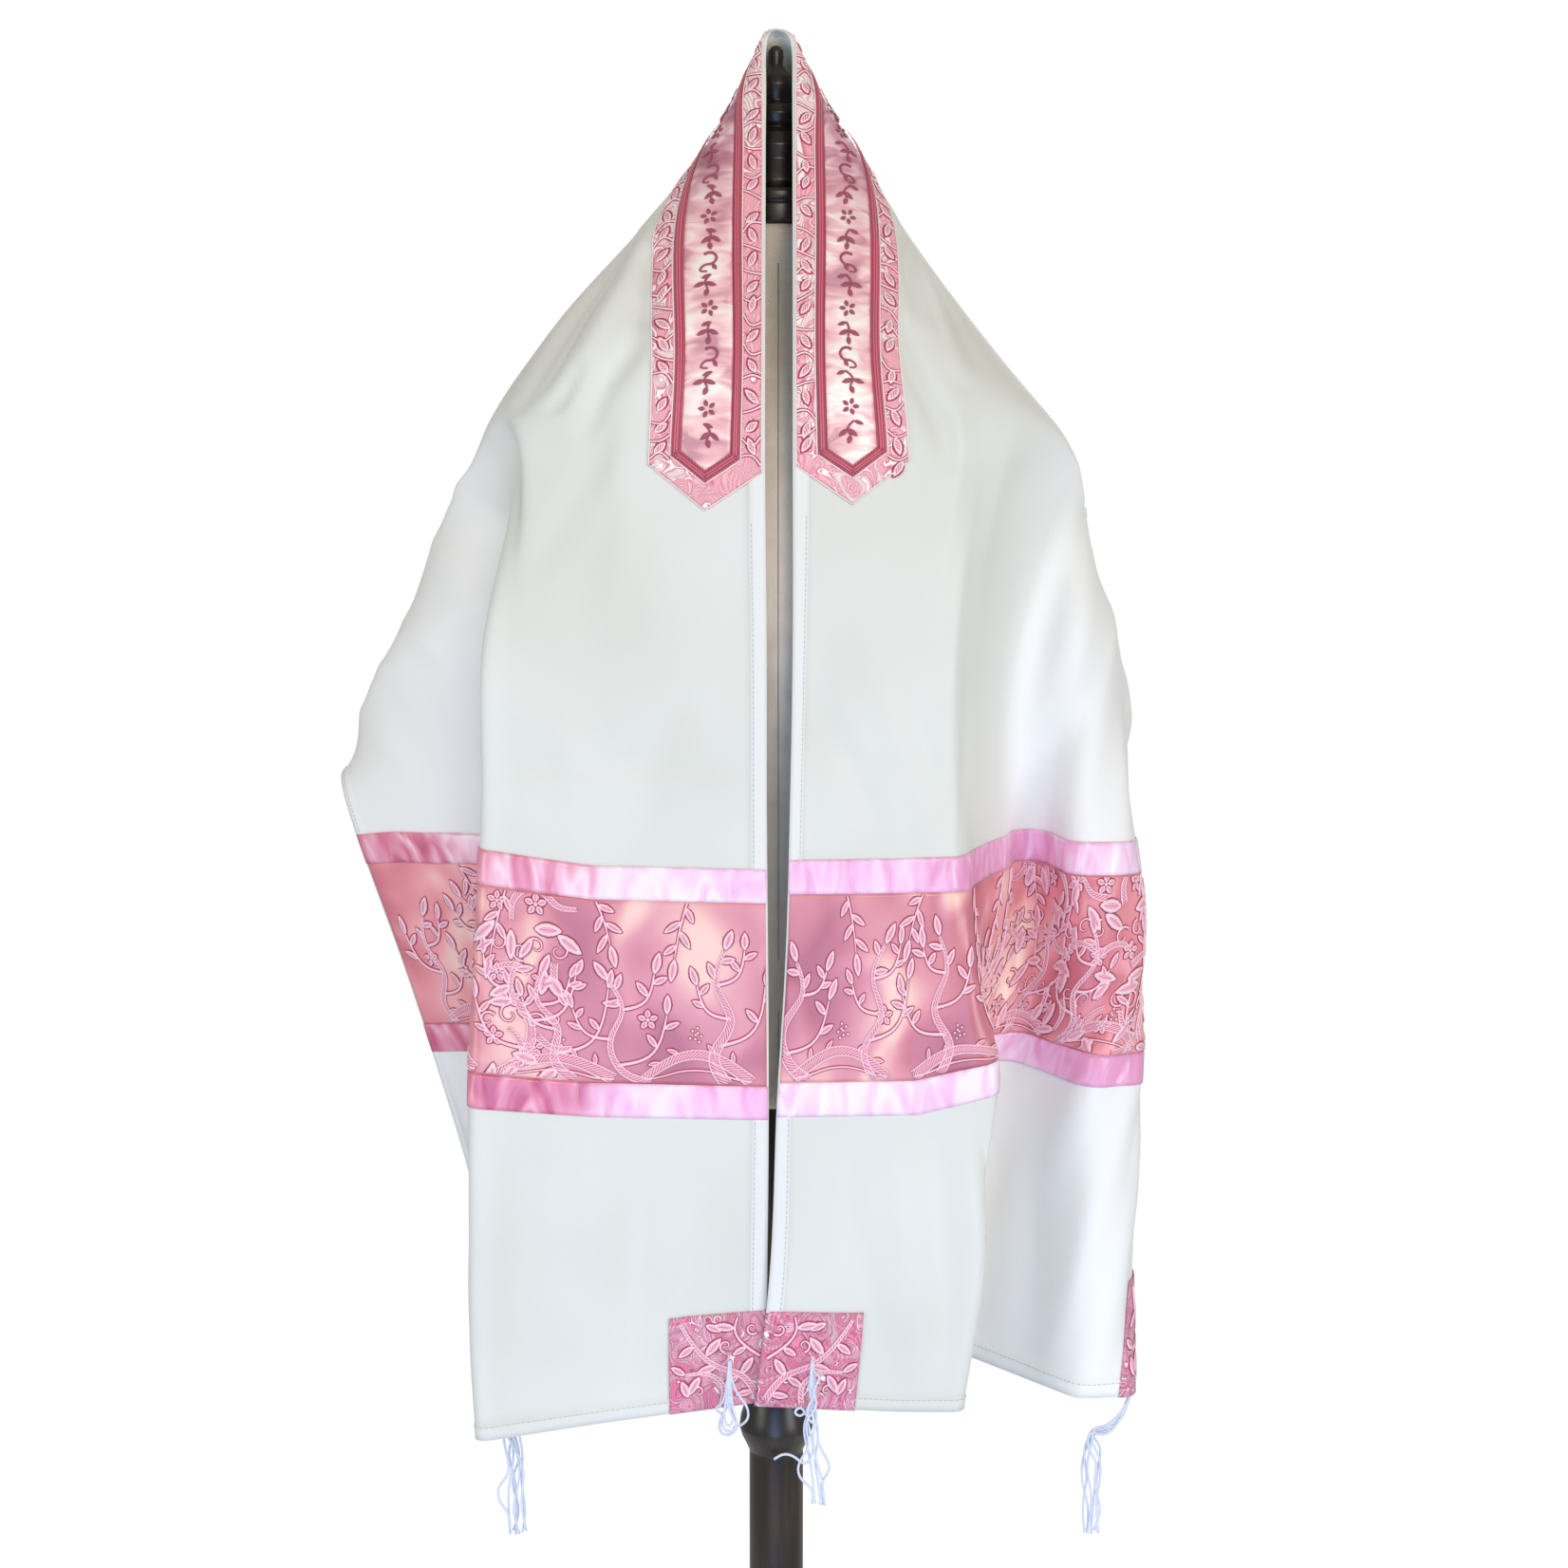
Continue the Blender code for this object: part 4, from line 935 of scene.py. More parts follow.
class Embroidery:
    """Vines, leaves and flowers in light thread, each with a deeper outline laid under it.

    It fills a panel that rises `reach` from `foot` towards the peak, over `v_span`."""

    RIM = 1.2 * MM

    def __init__(self, side, foot, reach, v_span, lift, rng):
        self.side, self.foot, self.lift, self.rng = side, foot, lift, rng
        ends = sorted((side * (foot - reach + self.RIM), side * (foot - self.RIM)))
        keep = ends, (v_span[0] + self.RIM, v_span[1] - self.RIM)
        self.works = {kind: Threadwork(keep) for kind in ("vine", "hatch", "leaf", "outline")}

    def spot(self, v, rise):
        """(u, v) of a place in the panel: v across the cloth, rise above the panel's foot."""
        return self.side * (self.foot - rise), v

    def line(self, points, wide, narrow, along=STEM):
        """A vine: one raised line if it is thin, a hatched filling between two if it is thick."""
        spots = [self.spot(*p) for p in points]
        under = (wide + 0.9 * MM, narrow + 0.6 * MM)
        stem(self.works["outline"], spots, under, 0.45 * MM, self.lift, along)
        if wide < 1.5 * MM:
            stem(self.works["vine"], spots, (wide, narrow), 1.1 * MM, self.lift, along)
            return
        stem(self.works["hatch"], spots, (wide, narrow), 0.9 * MM, self.lift, along)
        track = curve_through(spots, along + 1)
        way = headings_of(track)
        half = np.linspace(wide, narrow, along + 1)[:, None]
        for hand in (-1, 1):
            edge = track + hand * half * np.column_stack([-way[:, 1], way[:, 0]])
            stem(self.works["vine"], edge[::2], (0.65 * MM, 0.5 * MM), 1.3 * MM, self.lift, along)

    def blade(self, v, rise, heading, length, width):
        """A leaf from its root, lighter round its rim; heading 0 is along +v and a right angle is up."""
        way = math.atan2(math.cos(heading), -self.side * math.sin(heading))
        root, ahead = self.spot(v, rise), np.array((math.cos(way), math.sin(way)))
        leaf(self.works["outline"], root - ahead * 0.5 * MM, way, length + 1.3 * MM, width + 1.7 * MM,
             0.5 * MM, self.lift)
        leaf(self.works["vine"], root, way, length, width, 1.1 * MM, self.lift)
        leaf(self.works["leaf"], root + ahead * 0.15 * length, way, 0.70 * length, 0.56 * width,
             1.35 * MM, self.lift)

    def bead(self, v, rise, radius):
        """A knot on its outline: a berry, or a flower's heart."""
        dot(self.works["outline"], self.spot(v, rise), radius + 0.45 * MM, 0.4 * MM, self.lift)
        dot(self.works["vine"], self.spot(v, rise), radius, 1.2 * MM, self.lift)

    def tuft(self, track, size):
        """A leaf at the end of a twig and two more, left and right, behind it."""
        way = end_heading(track)
        vary = self.rng.uniform
        self.blade(*track[-1], way + vary(-0.2, 0.2), size * vary(1.0, 1.2), 0.46 * size)
        for back, turn in ((3, 0.95), (6, -0.85)):
            at = track[-min(back, len(track) - 2)]
            self.blade(*at, way + turn, size * vary(0.75, 1.0), 0.38 * size)

    def rosette(self, v, rise, size):
        """A flower with five petals round a knot."""
        for k in range(5):
            heading = 2 * math.pi * k / 5 + 0.3
            self.blade(v + 0.2 * size * math.cos(heading), rise + 0.2 * size * math.sin(heading),
                       heading, 0.8 * size, 0.62 * size)
        self.bead(v, rise, 0.2 * size)

    def curl(self, v, rise, size, heading, hand):
        """A tendril that winds into itself."""
        turns = [(heading + hand * 0.55 * k, size * (1.0 - k / 13)) for k in range(11)]
        winding = [(v + far * math.cos(t), rise + far * math.sin(t)) for t, far in turns]
        self.line(winding, 0.9 * MM, 0.45 * MM)

    def shrub(self, v, knees_mm, thick, grown):
        """A climbing vine through its knees, with branches to both sides and leafy tips."""
        rng, highest = self.rng, 0.112
        knees = [(v + grown * x * MM, grown * y * MM) for x, y in knees_mm]
        track = curve_through(knees, STEM + 1)
        self.line(knees, thick, 0.9 * MM)
        self.tuft(track, 15.0 * MM)
        hand = 1 if knees_mm[1][0] < 0 else -1
        for share in (0.30, 0.52, 0.76):
            at = track[int(share * STEM)]
            reach = (0.042 - 0.028 * share) * rng.uniform(0.85, 1.2)
            climb = reach * rng.uniform(0.7, 1.3)
            elbow = (at[0] + 0.66 * hand * reach, at[1] + 0.20 * climb)
            end = (at[0] + hand * reach, min(at[1] + climb, highest))
            branch = [tuple(at), elbow, end]
            self.line(branch, 1.4 * MM, 0.7 * MM, TWIG)
            self.tuft(curve_through(branch, TWIG + 1), rng.uniform(11.5, 15) * MM)
            hand = -hand

    def sprig(self, v, length, lean):
        """A twig that hangs from the upper ribbon, with slender leaves down both its sides."""
        top = BAND[1] - BAND[0] - 0.001
        knees = [(v, top), (v + 0.6 * lean, top - 0.5 * length), (v + lean, top - length)]
        track = curve_through(knees, STEM + 1)
        self.line(knees, 0.9 * MM, 0.5 * MM, TWIG)
        for k, share in enumerate((0.12, 0.36, 0.50, 0.76)):
            at, after = track[int(share * STEM) :][:2]
            way = after - at
            heading = math.atan2(way[1], way[0]) + (0.75 if k % 2 else -0.75)
            self.blade(*at, heading, self.rng.uniform(12, 16) * MM, 5.2 * MM)
        self.blade(*track[-1], end_heading(track), 17 * MM, 6.6 * MM)

    def runner(self, v, reach, height):
        """A hatched root that arches along the lower ribbon, with a thin one under it."""
        arch = [(v + reach * k / 6, 0.003 + height * math.sin(math.pi * k / 6)) for k in range(7)]
        self.line(arch, 4.0 * MM, 2.4 * MM)
        self.line([(x, max(0.003, 0.55 * y - 1.5 * MM)) for x, y in arch], 0.8 * MM, 0.5 * MM)
        for k, heading in ((1, 0.9), (2, 0.3), (4, -0.3), (5, -0.8)):
            self.blade(arch[k][0], arch[k][1] + 3.0 * MM, heading + 0.6, 9 * MM, 3.6 * MM)

    def berries(self, v, rise, count):
        """A cluster of knots, wound outwards from its middle."""
        for k in range(count):
            turn, far = 2.4 * k, 2.1 * MM * math.sqrt(k)
            self.bead(v + far * math.cos(turn), rise + far * math.sin(turn), 1.1 * MM)

    def thicket(self, low, high, top):
        """Big leaves, curls, hatched stems and flowers crowded together up to `top`."""
        rng = self.rng
        for k, v in enumerate(np.arange(low, high, 0.0155)):
            for j, rise in enumerate(np.arange(0.008, top, 0.0165)):
                at = (v + rng.uniform(-4, 4) * MM, rise + rng.uniform(-4, 4) * MM)
                turn, pick = rng.uniform(0, 2 * math.pi), (3 * k + 2 * j) % 6
                if pick in (0, 3):
                    self.blade(*at, turn, rng.uniform(18, 25) * MM, rng.uniform(8, 11) * MM)
                elif pick in (1, 4):
                    self.curl(*at, rng.uniform(6.0, 8.5) * MM, turn, 1 if j % 2 else -1)
                elif pick == 2:
                    reach = np.array((math.cos(turn), math.sin(turn))) * 13 * MM
                    side_step = np.array((-reach[1], reach[0])) * 0.35
                    self.line([np.array(at) - reach, np.array(at) + side_step, np.array(at) + reach],
                              2.4 * MM, 1.2 * MM, TWIG)
                else:
                    self.rosette(*at, rng.uniform(6.5, 8.5) * MM)

    def finish(self, name, slot):
        """One piece for each kind of thread."""
        return [work.finish(f"{name}_{kind}", kind, slot) for kind, work in self.works.items()]


# Climbing vines: knees as (along, up) in millimetres, the first on the lower ribbon.
CLIMBERS = (
    ((0, 1), (9, 20), (-3, 46), (7, 72), (1, 97)),
    ((0, 1), (-17, 15), (-22, 40), (-8, 62), (-14, 84)),
    ((0, 1), (22, 10), (31, 33), (22, 57), (33, 80)),
    ((0, 1), (-9, 24), (6, 50), (-2, 78), (9, 104)),
    ((0, 1), (14, 14), (12, 36), (26, 54), (24, 70)),
)
# Where the ornament closes up on each side, as spans across the cloth.
THICKETS = {-1: ((0.150, 0.205), (0.330, 0.400)), 1: ((0.270, 0.500),)}


def embroidered_band(side, word):
    """One end's satin band with its climbing vines, hanging sprigs, roots and berries."""
    band = ribbon(f"satin_band_{word}", side, BAND, (0.0015, WIDTH - 0.0015), 0.5 * MM,
                  "rose_satin", "rose_satin", f"band_{word}")
    work = Embroidery(side, BAND[1], BAND[1] - BAND[0], (0.0008, WIDTH - 0.0008), 0.6 * MM,
                      np.random.default_rng(23 + side))
    first = 0.030 if side < 0 else 0.024
    for k, v in enumerate(np.arange(first, WIDTH - 0.02, 0.054)):
        work.shrub(v, CLIMBERS[(2 * k + (side > 0)) % 5], (4.2, 2.4, 3.4)[k % 3] * MM,
                   (1.0, 0.92, 1.04)[k % 3])
    for k, v in enumerate(np.arange(first + 0.028, WIDTH - 0.03, 0.066)):
        work.sprig(v, (0.040, 0.031, 0.046)[k % 3], (0.009, -0.011)[k % 2])
    for k, v in enumerate(np.arange(0.012, WIDTH - 0.07, 0.098)):
        work.runner(v, 0.078, (0.019, 0.013)[k % 2])
        work.berries(v + 0.040, (0.036, 0.030, 0.044)[k % 3], 8)
        work.rosette(v + 0.074, (0.046, 0.056)[k % 2], 7.5 * MM)
    for low, high in THICKETS[side]:
        work.thicket(low, high, 0.124)
    return [band, *work.finish(f"embroidery_{word}", "rose_satin")]


# ---------------------------------------------------------------- neckband
def point_end(v, half, tip):
    """How far down the front a pointed strip reaches at v, its middle on the band's middle."""
    return tip - POINT_SLOPE * np.minimum(np.abs(v - ATARA_MIDDLE), half)


def tip_of(half):
    """The tip of a line that stays parallel to the band's own point."""
    return ATARA_TIP - math.hypot(1.0, POINT_SLOPE) * (ATARA_HALF - half)


def pointed_strip(name, half, lift, finish, slot, node, crown=0.0):
    """A strip over the peak with a point at each end, domed by `crown` across its width."""
    def place(shares, vs):
        us = shares * point_end(vs, half, tip_of(half))
        across = np.clip(np.abs(vs - ATARA_MIDDLE) / half, 0.0, 1.0)
        return on_cloth(us, vs, lift + crown * (1.0 - across ** 2)), np.column_stack([us, vs])

    lines_v = between(ATARA_MIDDLE - half, ATARA_MIDDLE + half)
    lines_u = filled((-1.0, -0.05, 0.05, 1.0), 0.0095)
    return sewn_sheet(name, lines_u, lines_v, place, finish, slot, TRIM_WALL, node)


def outline_of(half, inset=0.0):
    """The closed outline of a pointed strip in (u, v), both points included."""
    tip, low, high = tip_of(half - inset), ATARA_MIDDLE - half + inset, ATARA_MIDDLE + half - inset
    corner, steps = tip - POINT_SLOPE * (half - inset), LONG_CORD // 2
    lines = []
    for v in (low, high):
        lines.append([(-corner + 2 * corner * k / steps, v) for k in range(steps + 1)])
    for sign in (-1, 1):
        lines.append([(sign * corner, low), (sign * tip, ATARA_MIDDLE)])
        lines.append([(sign * tip, ATARA_MIDDLE), (sign * corner, high)])
    return lines


def straight_stem(work, points, half_width, height, lift):
    """A raised line that keeps its corners, for cords along the neckband."""
    along = LONG_CORD if len(points) > 2 else STITCH
    track = np.array([np.interp(np.linspace(0, len(points) - 1, along + 1), range(len(points)),
                                [p[axis] for p in points]) for axis in (0, 1)]).T
    laid_rod(work, track, (half_width, half_width), height, lift)


def neckband():
    """Brocade strip, raised braid and satin insert, corded along every edge."""
    ground = pointed_strip("atara_brocade", ATARA_HALF, 0.5 * MM, "brocade", "brocade",
                           "atara_band")
    middle = pointed_strip("atara_braid", BRAID_HALF, 1.1 * MM, "piping", "piping",
                           "atara_piping", 0.3 * MM)
    top = pointed_strip("atara_satin", INSERT_HALF, 1.8 * MM, "insert", "insert",
                        "atara_insert", 0.2 * MM)
    pale, round_braid = Threadwork(), Threadwork()
    for line in outline_of(INNER_CORD_HALF):
        straight_stem(pale, line, 0.6 * MM, 1.0 * MM, 0.6 * MM)
    for line in outline_of(ATARA_HALF, 0.5 * MM):
        straight_stem(pale, line, 0.55 * MM, 0.8 * MM, 0.5 * MM)
    for line in outline_of(ROUND_BRAID_HALF):
        straight_stem(round_braid, line, 2.9 * MM, 1.3 * MM, 1.2 * MM)
    cords = pale.finish("atara_pale_cords", "pale_cord", "brocade")
    rim = round_braid.finish("atara_round_braid", "piping", "piping")
    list(border_relief())
    insert_sprigs()


# The insert's ornament: how far from the peak it starts, its pitch, and its raised height.
SPRIGS_START, SPRIG_PITCH, SPRIG_COUNT = 0.034, 0.0187, 17
SPRIG_LIFT = 1.9 * MM
SPRIG_LEANS = (0.30, -0.34, 0.16, -0.22, 0.38)


def insert_flower(work, u, lean):
    """Five petals round an open middle."""
    for petal in range(5):
        turn = 2 * math.pi / 5 * petal + lean
        root = (u + 1.6 * MM * math.cos(turn), ATARA_MIDDLE + 1.6 * MM * math.sin(turn))
        leaf(work, root, turn, 5.2 * MM, 3.4 * MM, 1.2 * MM, SPRIG_LIFT)


def insert_scroll(work, u, side, away):
    """A double curl with one leaf."""
    bends = ((-6, 3), (-7, -2), (-3, -6), (2, -3), (3, 3), (7, 6), (8, 1))
    scroll = [(u + side * x * MM, ATARA_MIDDLE + y * MM) for x, y in bends]
    stem(work, scroll, (1.2 * MM, 0.7 * MM), 1.1 * MM, SPRIG_LIFT)
    leaf(work, scroll[3], away + 0.5, 6.0 * MM, 3.4 * MM, 1.2 * MM, SPRIG_LIFT)


def insert_twig(work, u, side, away, lean):
    """A leaning twig with a leaf at its tip, a pair at its bend and one at its root."""
    root, bend, tip = [(u + side * x * MM, ATARA_MIDDLE + y * lean * MM) for x, y in
                       ((-8, -6), (-2, 8), (3, 2))]
    stem(work, [root, bend, tip], (0.9 * MM, 0.8 * MM), 1.1 * MM, SPRIG_LIFT, TWIG)
    leaf(work, tip, away + side * lean, 6.5 * MM, 4.0 * MM, 1.2 * MM, SPRIG_LIFT)
    for hand in (-1, 1):
        leaf(work, bend, away + hand * (1.05 + 0.5 * lean), 9.0 * MM, 3.8 * MM, 1.2 * MM,
             SPRIG_LIFT)
    leaf(work, root, away - math.copysign(1.2, lean), 7.5 * MM, 3.2 * MM, 1.1 * MM, SPRIG_LIFT)


def insert_sprigs():
    """Raised ornament down the satin insert: leafy twigs, scrolls and flowers in turn."""
    work = Threadwork()
    for side in (-1, 1):
        away = 0.0 if side > 0 else math.pi
        for k in range(SPRIG_COUNT):
            u = side * (SPRIGS_START + SPRIG_PITCH * k)
            lean = SPRIG_LEANS[k % 5]
            if k % 4 == 3:
                insert_flower(work, u, lean)
            elif k % 4 == 1:
                insert_scroll(work, u, side, away)
            else:
                insert_twig(work, u, side, away, lean)
    return work.finish("atara_sprigs", "maroon", "insert")


# The brocade's two borders beside the braid, across the cloth, and how far they run each way.
BORDER_ROWS = ((0.0030, 0.0168), (0.0682, 0.0820))
BORDER_REACH = 0.352


def border_relief():
    """Raised scrolls that part the neckband's brocade into cells, with a leaf in each."""
    rng = np.random.default_rng(5)
    lift = 0.55 * MM
    pale, deep, light = Threadwork(), Threadwork(), Threadwork()
    for low, high in BORDER_ROWS:
        u = -BORDER_REACH
        while u < BORDER_REACH:
            lean, bow = rng.uniform(-9, 9) * MM, rng.uniform(-6, 6) * MM
            scroll = [(u, low), (u + lean / 2 + bow, (low + high) / 2), (u + lean, high)]
            stem(deep, scroll, (1.7 * MM, 1.3 * MM), 0.4 * MM, lift, TWIG)
            stem(pale, scroll, (0.75 * MM, 0.55 * MM), 0.8 * MM, lift, TWIG)
            size, turn = rng.uniform(11.0, 14.5) * MM, rng.uniform(0.2, 0.9) * rng.choice((-1, 1))
            root = (u + lean / 2 + 4.0 * MM, (low + high) / 2 - 0.5 * size * math.sin(turn))
            leaf(deep, root, turn, size + 1.6 * MM, 8.4 * MM, 0.4 * MM, lift)
            leaf(pale, root, turn, size, 6.0 * MM, 0.7 * MM, lift)
            middle = (root[0] + 1.4 * MM * math.cos(turn), root[1] + 1.4 * MM * math.sin(turn))
            leaf(light, middle, turn, 0.76 * size, 4.0 * MM, 0.9 * MM, lift)
            u += rng.uniform(17.0, 23.0) * MM
    return [pale.finish("border_scrolls", "pale_cord", "brocade"),
            deep.finish("border_shade", "outline", "brocade"),
            light.finish("border_leaves", "hatch", "brocade")]


# The branches across a corner square, as places in millimetres from its corner, and the
# leaves on them, each as (along, rise, heading, length, width).
SQUARE_BRANCHES = (((6, 4), (18, 22), (34, 30), (50, 46), (60, 63)),
                   ((31, 3), (30, 15), (38, 24), (56, 26)),
                   ((4, 34), (14, 42), (22, 56), (20, 64)))
SQUARE_LEAVES = ((18, 22, 2.2, 15, 6.5), (34, 30, -0.2, 14, 6.0), (42, 38, 2.3, 16, 7.0),
                 (56, 26, 0.6, 12, 5.0), (46, 24, -1.0, 15, 6.5), (30, 15, 2.6, 13, 5.5),
                 (22, 56, 0.2, 15, 6.5), (14, 42, -0.5, 11, 5.0), (50, 46, -0.6, 13, 5.5),
                 (9, 9, -0.1, 13, 5.5), (54, 10, 1.2, 13, 6.0), (42, 60, 3.6, 12, 5.5))


def square_relief(side, low, word):
    """The leafy branches raised on one corner square."""
    work = Embroidery(side, HALF, CORNER_SQUARE, (low, low + CORNER_SQUARE), 1.3 * MM,
                      np.random.default_rng(7))
    inward = -1 if low > 0 else 1
    corner = low + (CORNER_SQUARE if inward < 0 else 0.0)

    def at(along, rise):
        return corner + inward * along * MM, rise * MM

    for k, branch in enumerate(SQUARE_BRANCHES):
        work.line([at(*place) for place in branch], (2.0, 1.5, 1.2)[k] * MM, 0.7 * MM)
    for along, rise, heading, length, width in SQUARE_LEAVES:
        turned_way = heading if inward > 0 else math.pi - heading
        work.blade(*at(along, rise), turned_way, length * MM, width * MM)
    for along, rise in ((47, 13), (10, 55), (28, 44)):
        work.curl(*at(along, rise), 4.8 * MM, 0.4 * along, inward)
    return work.finish(f"square_{word}", "brocade")


# ---------------------------------------------------------------- sewing lines
HEM_STITCH_PITCH = 3.6 * MM
HEM_STITCH_LENGTH = 2.2 * MM
HEM_STITCH_HALF = 0.22 * MM


def stitch_line(work, start, end):
    """Separate stitches of thread on a hem, from one (u, v) to another."""
    start, end = np.array(start), np.array(end)
    run = math.dist(start, end)
    lift = HEM_STEP - 0.25 * MM
    for at in np.arange(HEM_STITCH_PITCH / 2, run - HEM_STITCH_LENGTH, HEM_STITCH_PITCH):
        stitch = [start + (end - start) * far / run for far in (at, at + HEM_STITCH_LENGTH)]
        stem(work, stitch, (HEM_STITCH_HALF, HEM_STITCH_HALF), 0.45 * MM, lift, STITCH)


def sewing():
    """The stitches that hold the turned hems, where no trim covers them."""
    work = Threadwork()
    edge = FRONT_HEM - 1.6 * MM
    inner = HALF - END_HEM + 1.4 * MM
    outer = WIDTH - OUTER_HEM + 1.2 * MM
    for side in (-1, 1):
        stitch_line(work, (side * (ATARA_TIP + 4 * MM), edge), (side * RIBBON_1[0], edge))
        stitch_line(work, (side * RIBBON_2[1], edge), (side * (HALF - CORNER_SQUARE), edge))
        stitch_line(work, (side * inner, CORNER_SQUARE), (side * inner, WIDTH - CORNER_SQUARE))
        stitch_line(work, (0.0, outer), (side * RIBBON_1[0], outer))
    return work.finish("hem_stitches", "seam", "cloth")


# ---------------------------------------------------------------- tassels
def threads(name, routes, radius, finish, slot, *nodes):
    """Round threads along routes of (x, y, z) in millimetres, gathered into one mesh."""
    all_points, all_faces, grain, count = [], [], [], 0
    rod, faces = ROD[THREAD]
    at = np.rint(rod[:, 2] * THREAD).astype(int)
    for route in routes:
        track = curve_through(np.array(route, float) * MM, THREAD + 1)
        way = headings_of(track)
        across = np.cross(way, (0.0, 1.0, 0.12))
        across /= np.maximum(np.linalg.norm(across, axis=1, keepdims=True), 1e-9)
        over = np.cross(way, across)
        all_points.append(track[at] + radius * (rod[:, :1] * across[at] + rod[:, 1:2] * over[at]))
        around = np.arctan2(rod[:, 1], rod[:, 0]) * MM
        grain.append(np.column_stack([rod[:, 2] * length_of(track), around]))
        all_faces += [[corner + count for corner in face] for face in faces]
        count += len(all_points[-1])
    mesh = mesh_of(name, np.concatenate(all_points), all_faces, np.concatenate(grain))
    return finish_piece(name, mesh, finish, slot, *nodes)


TASSEL_THREAD_RADIUS = 0.92 * MM
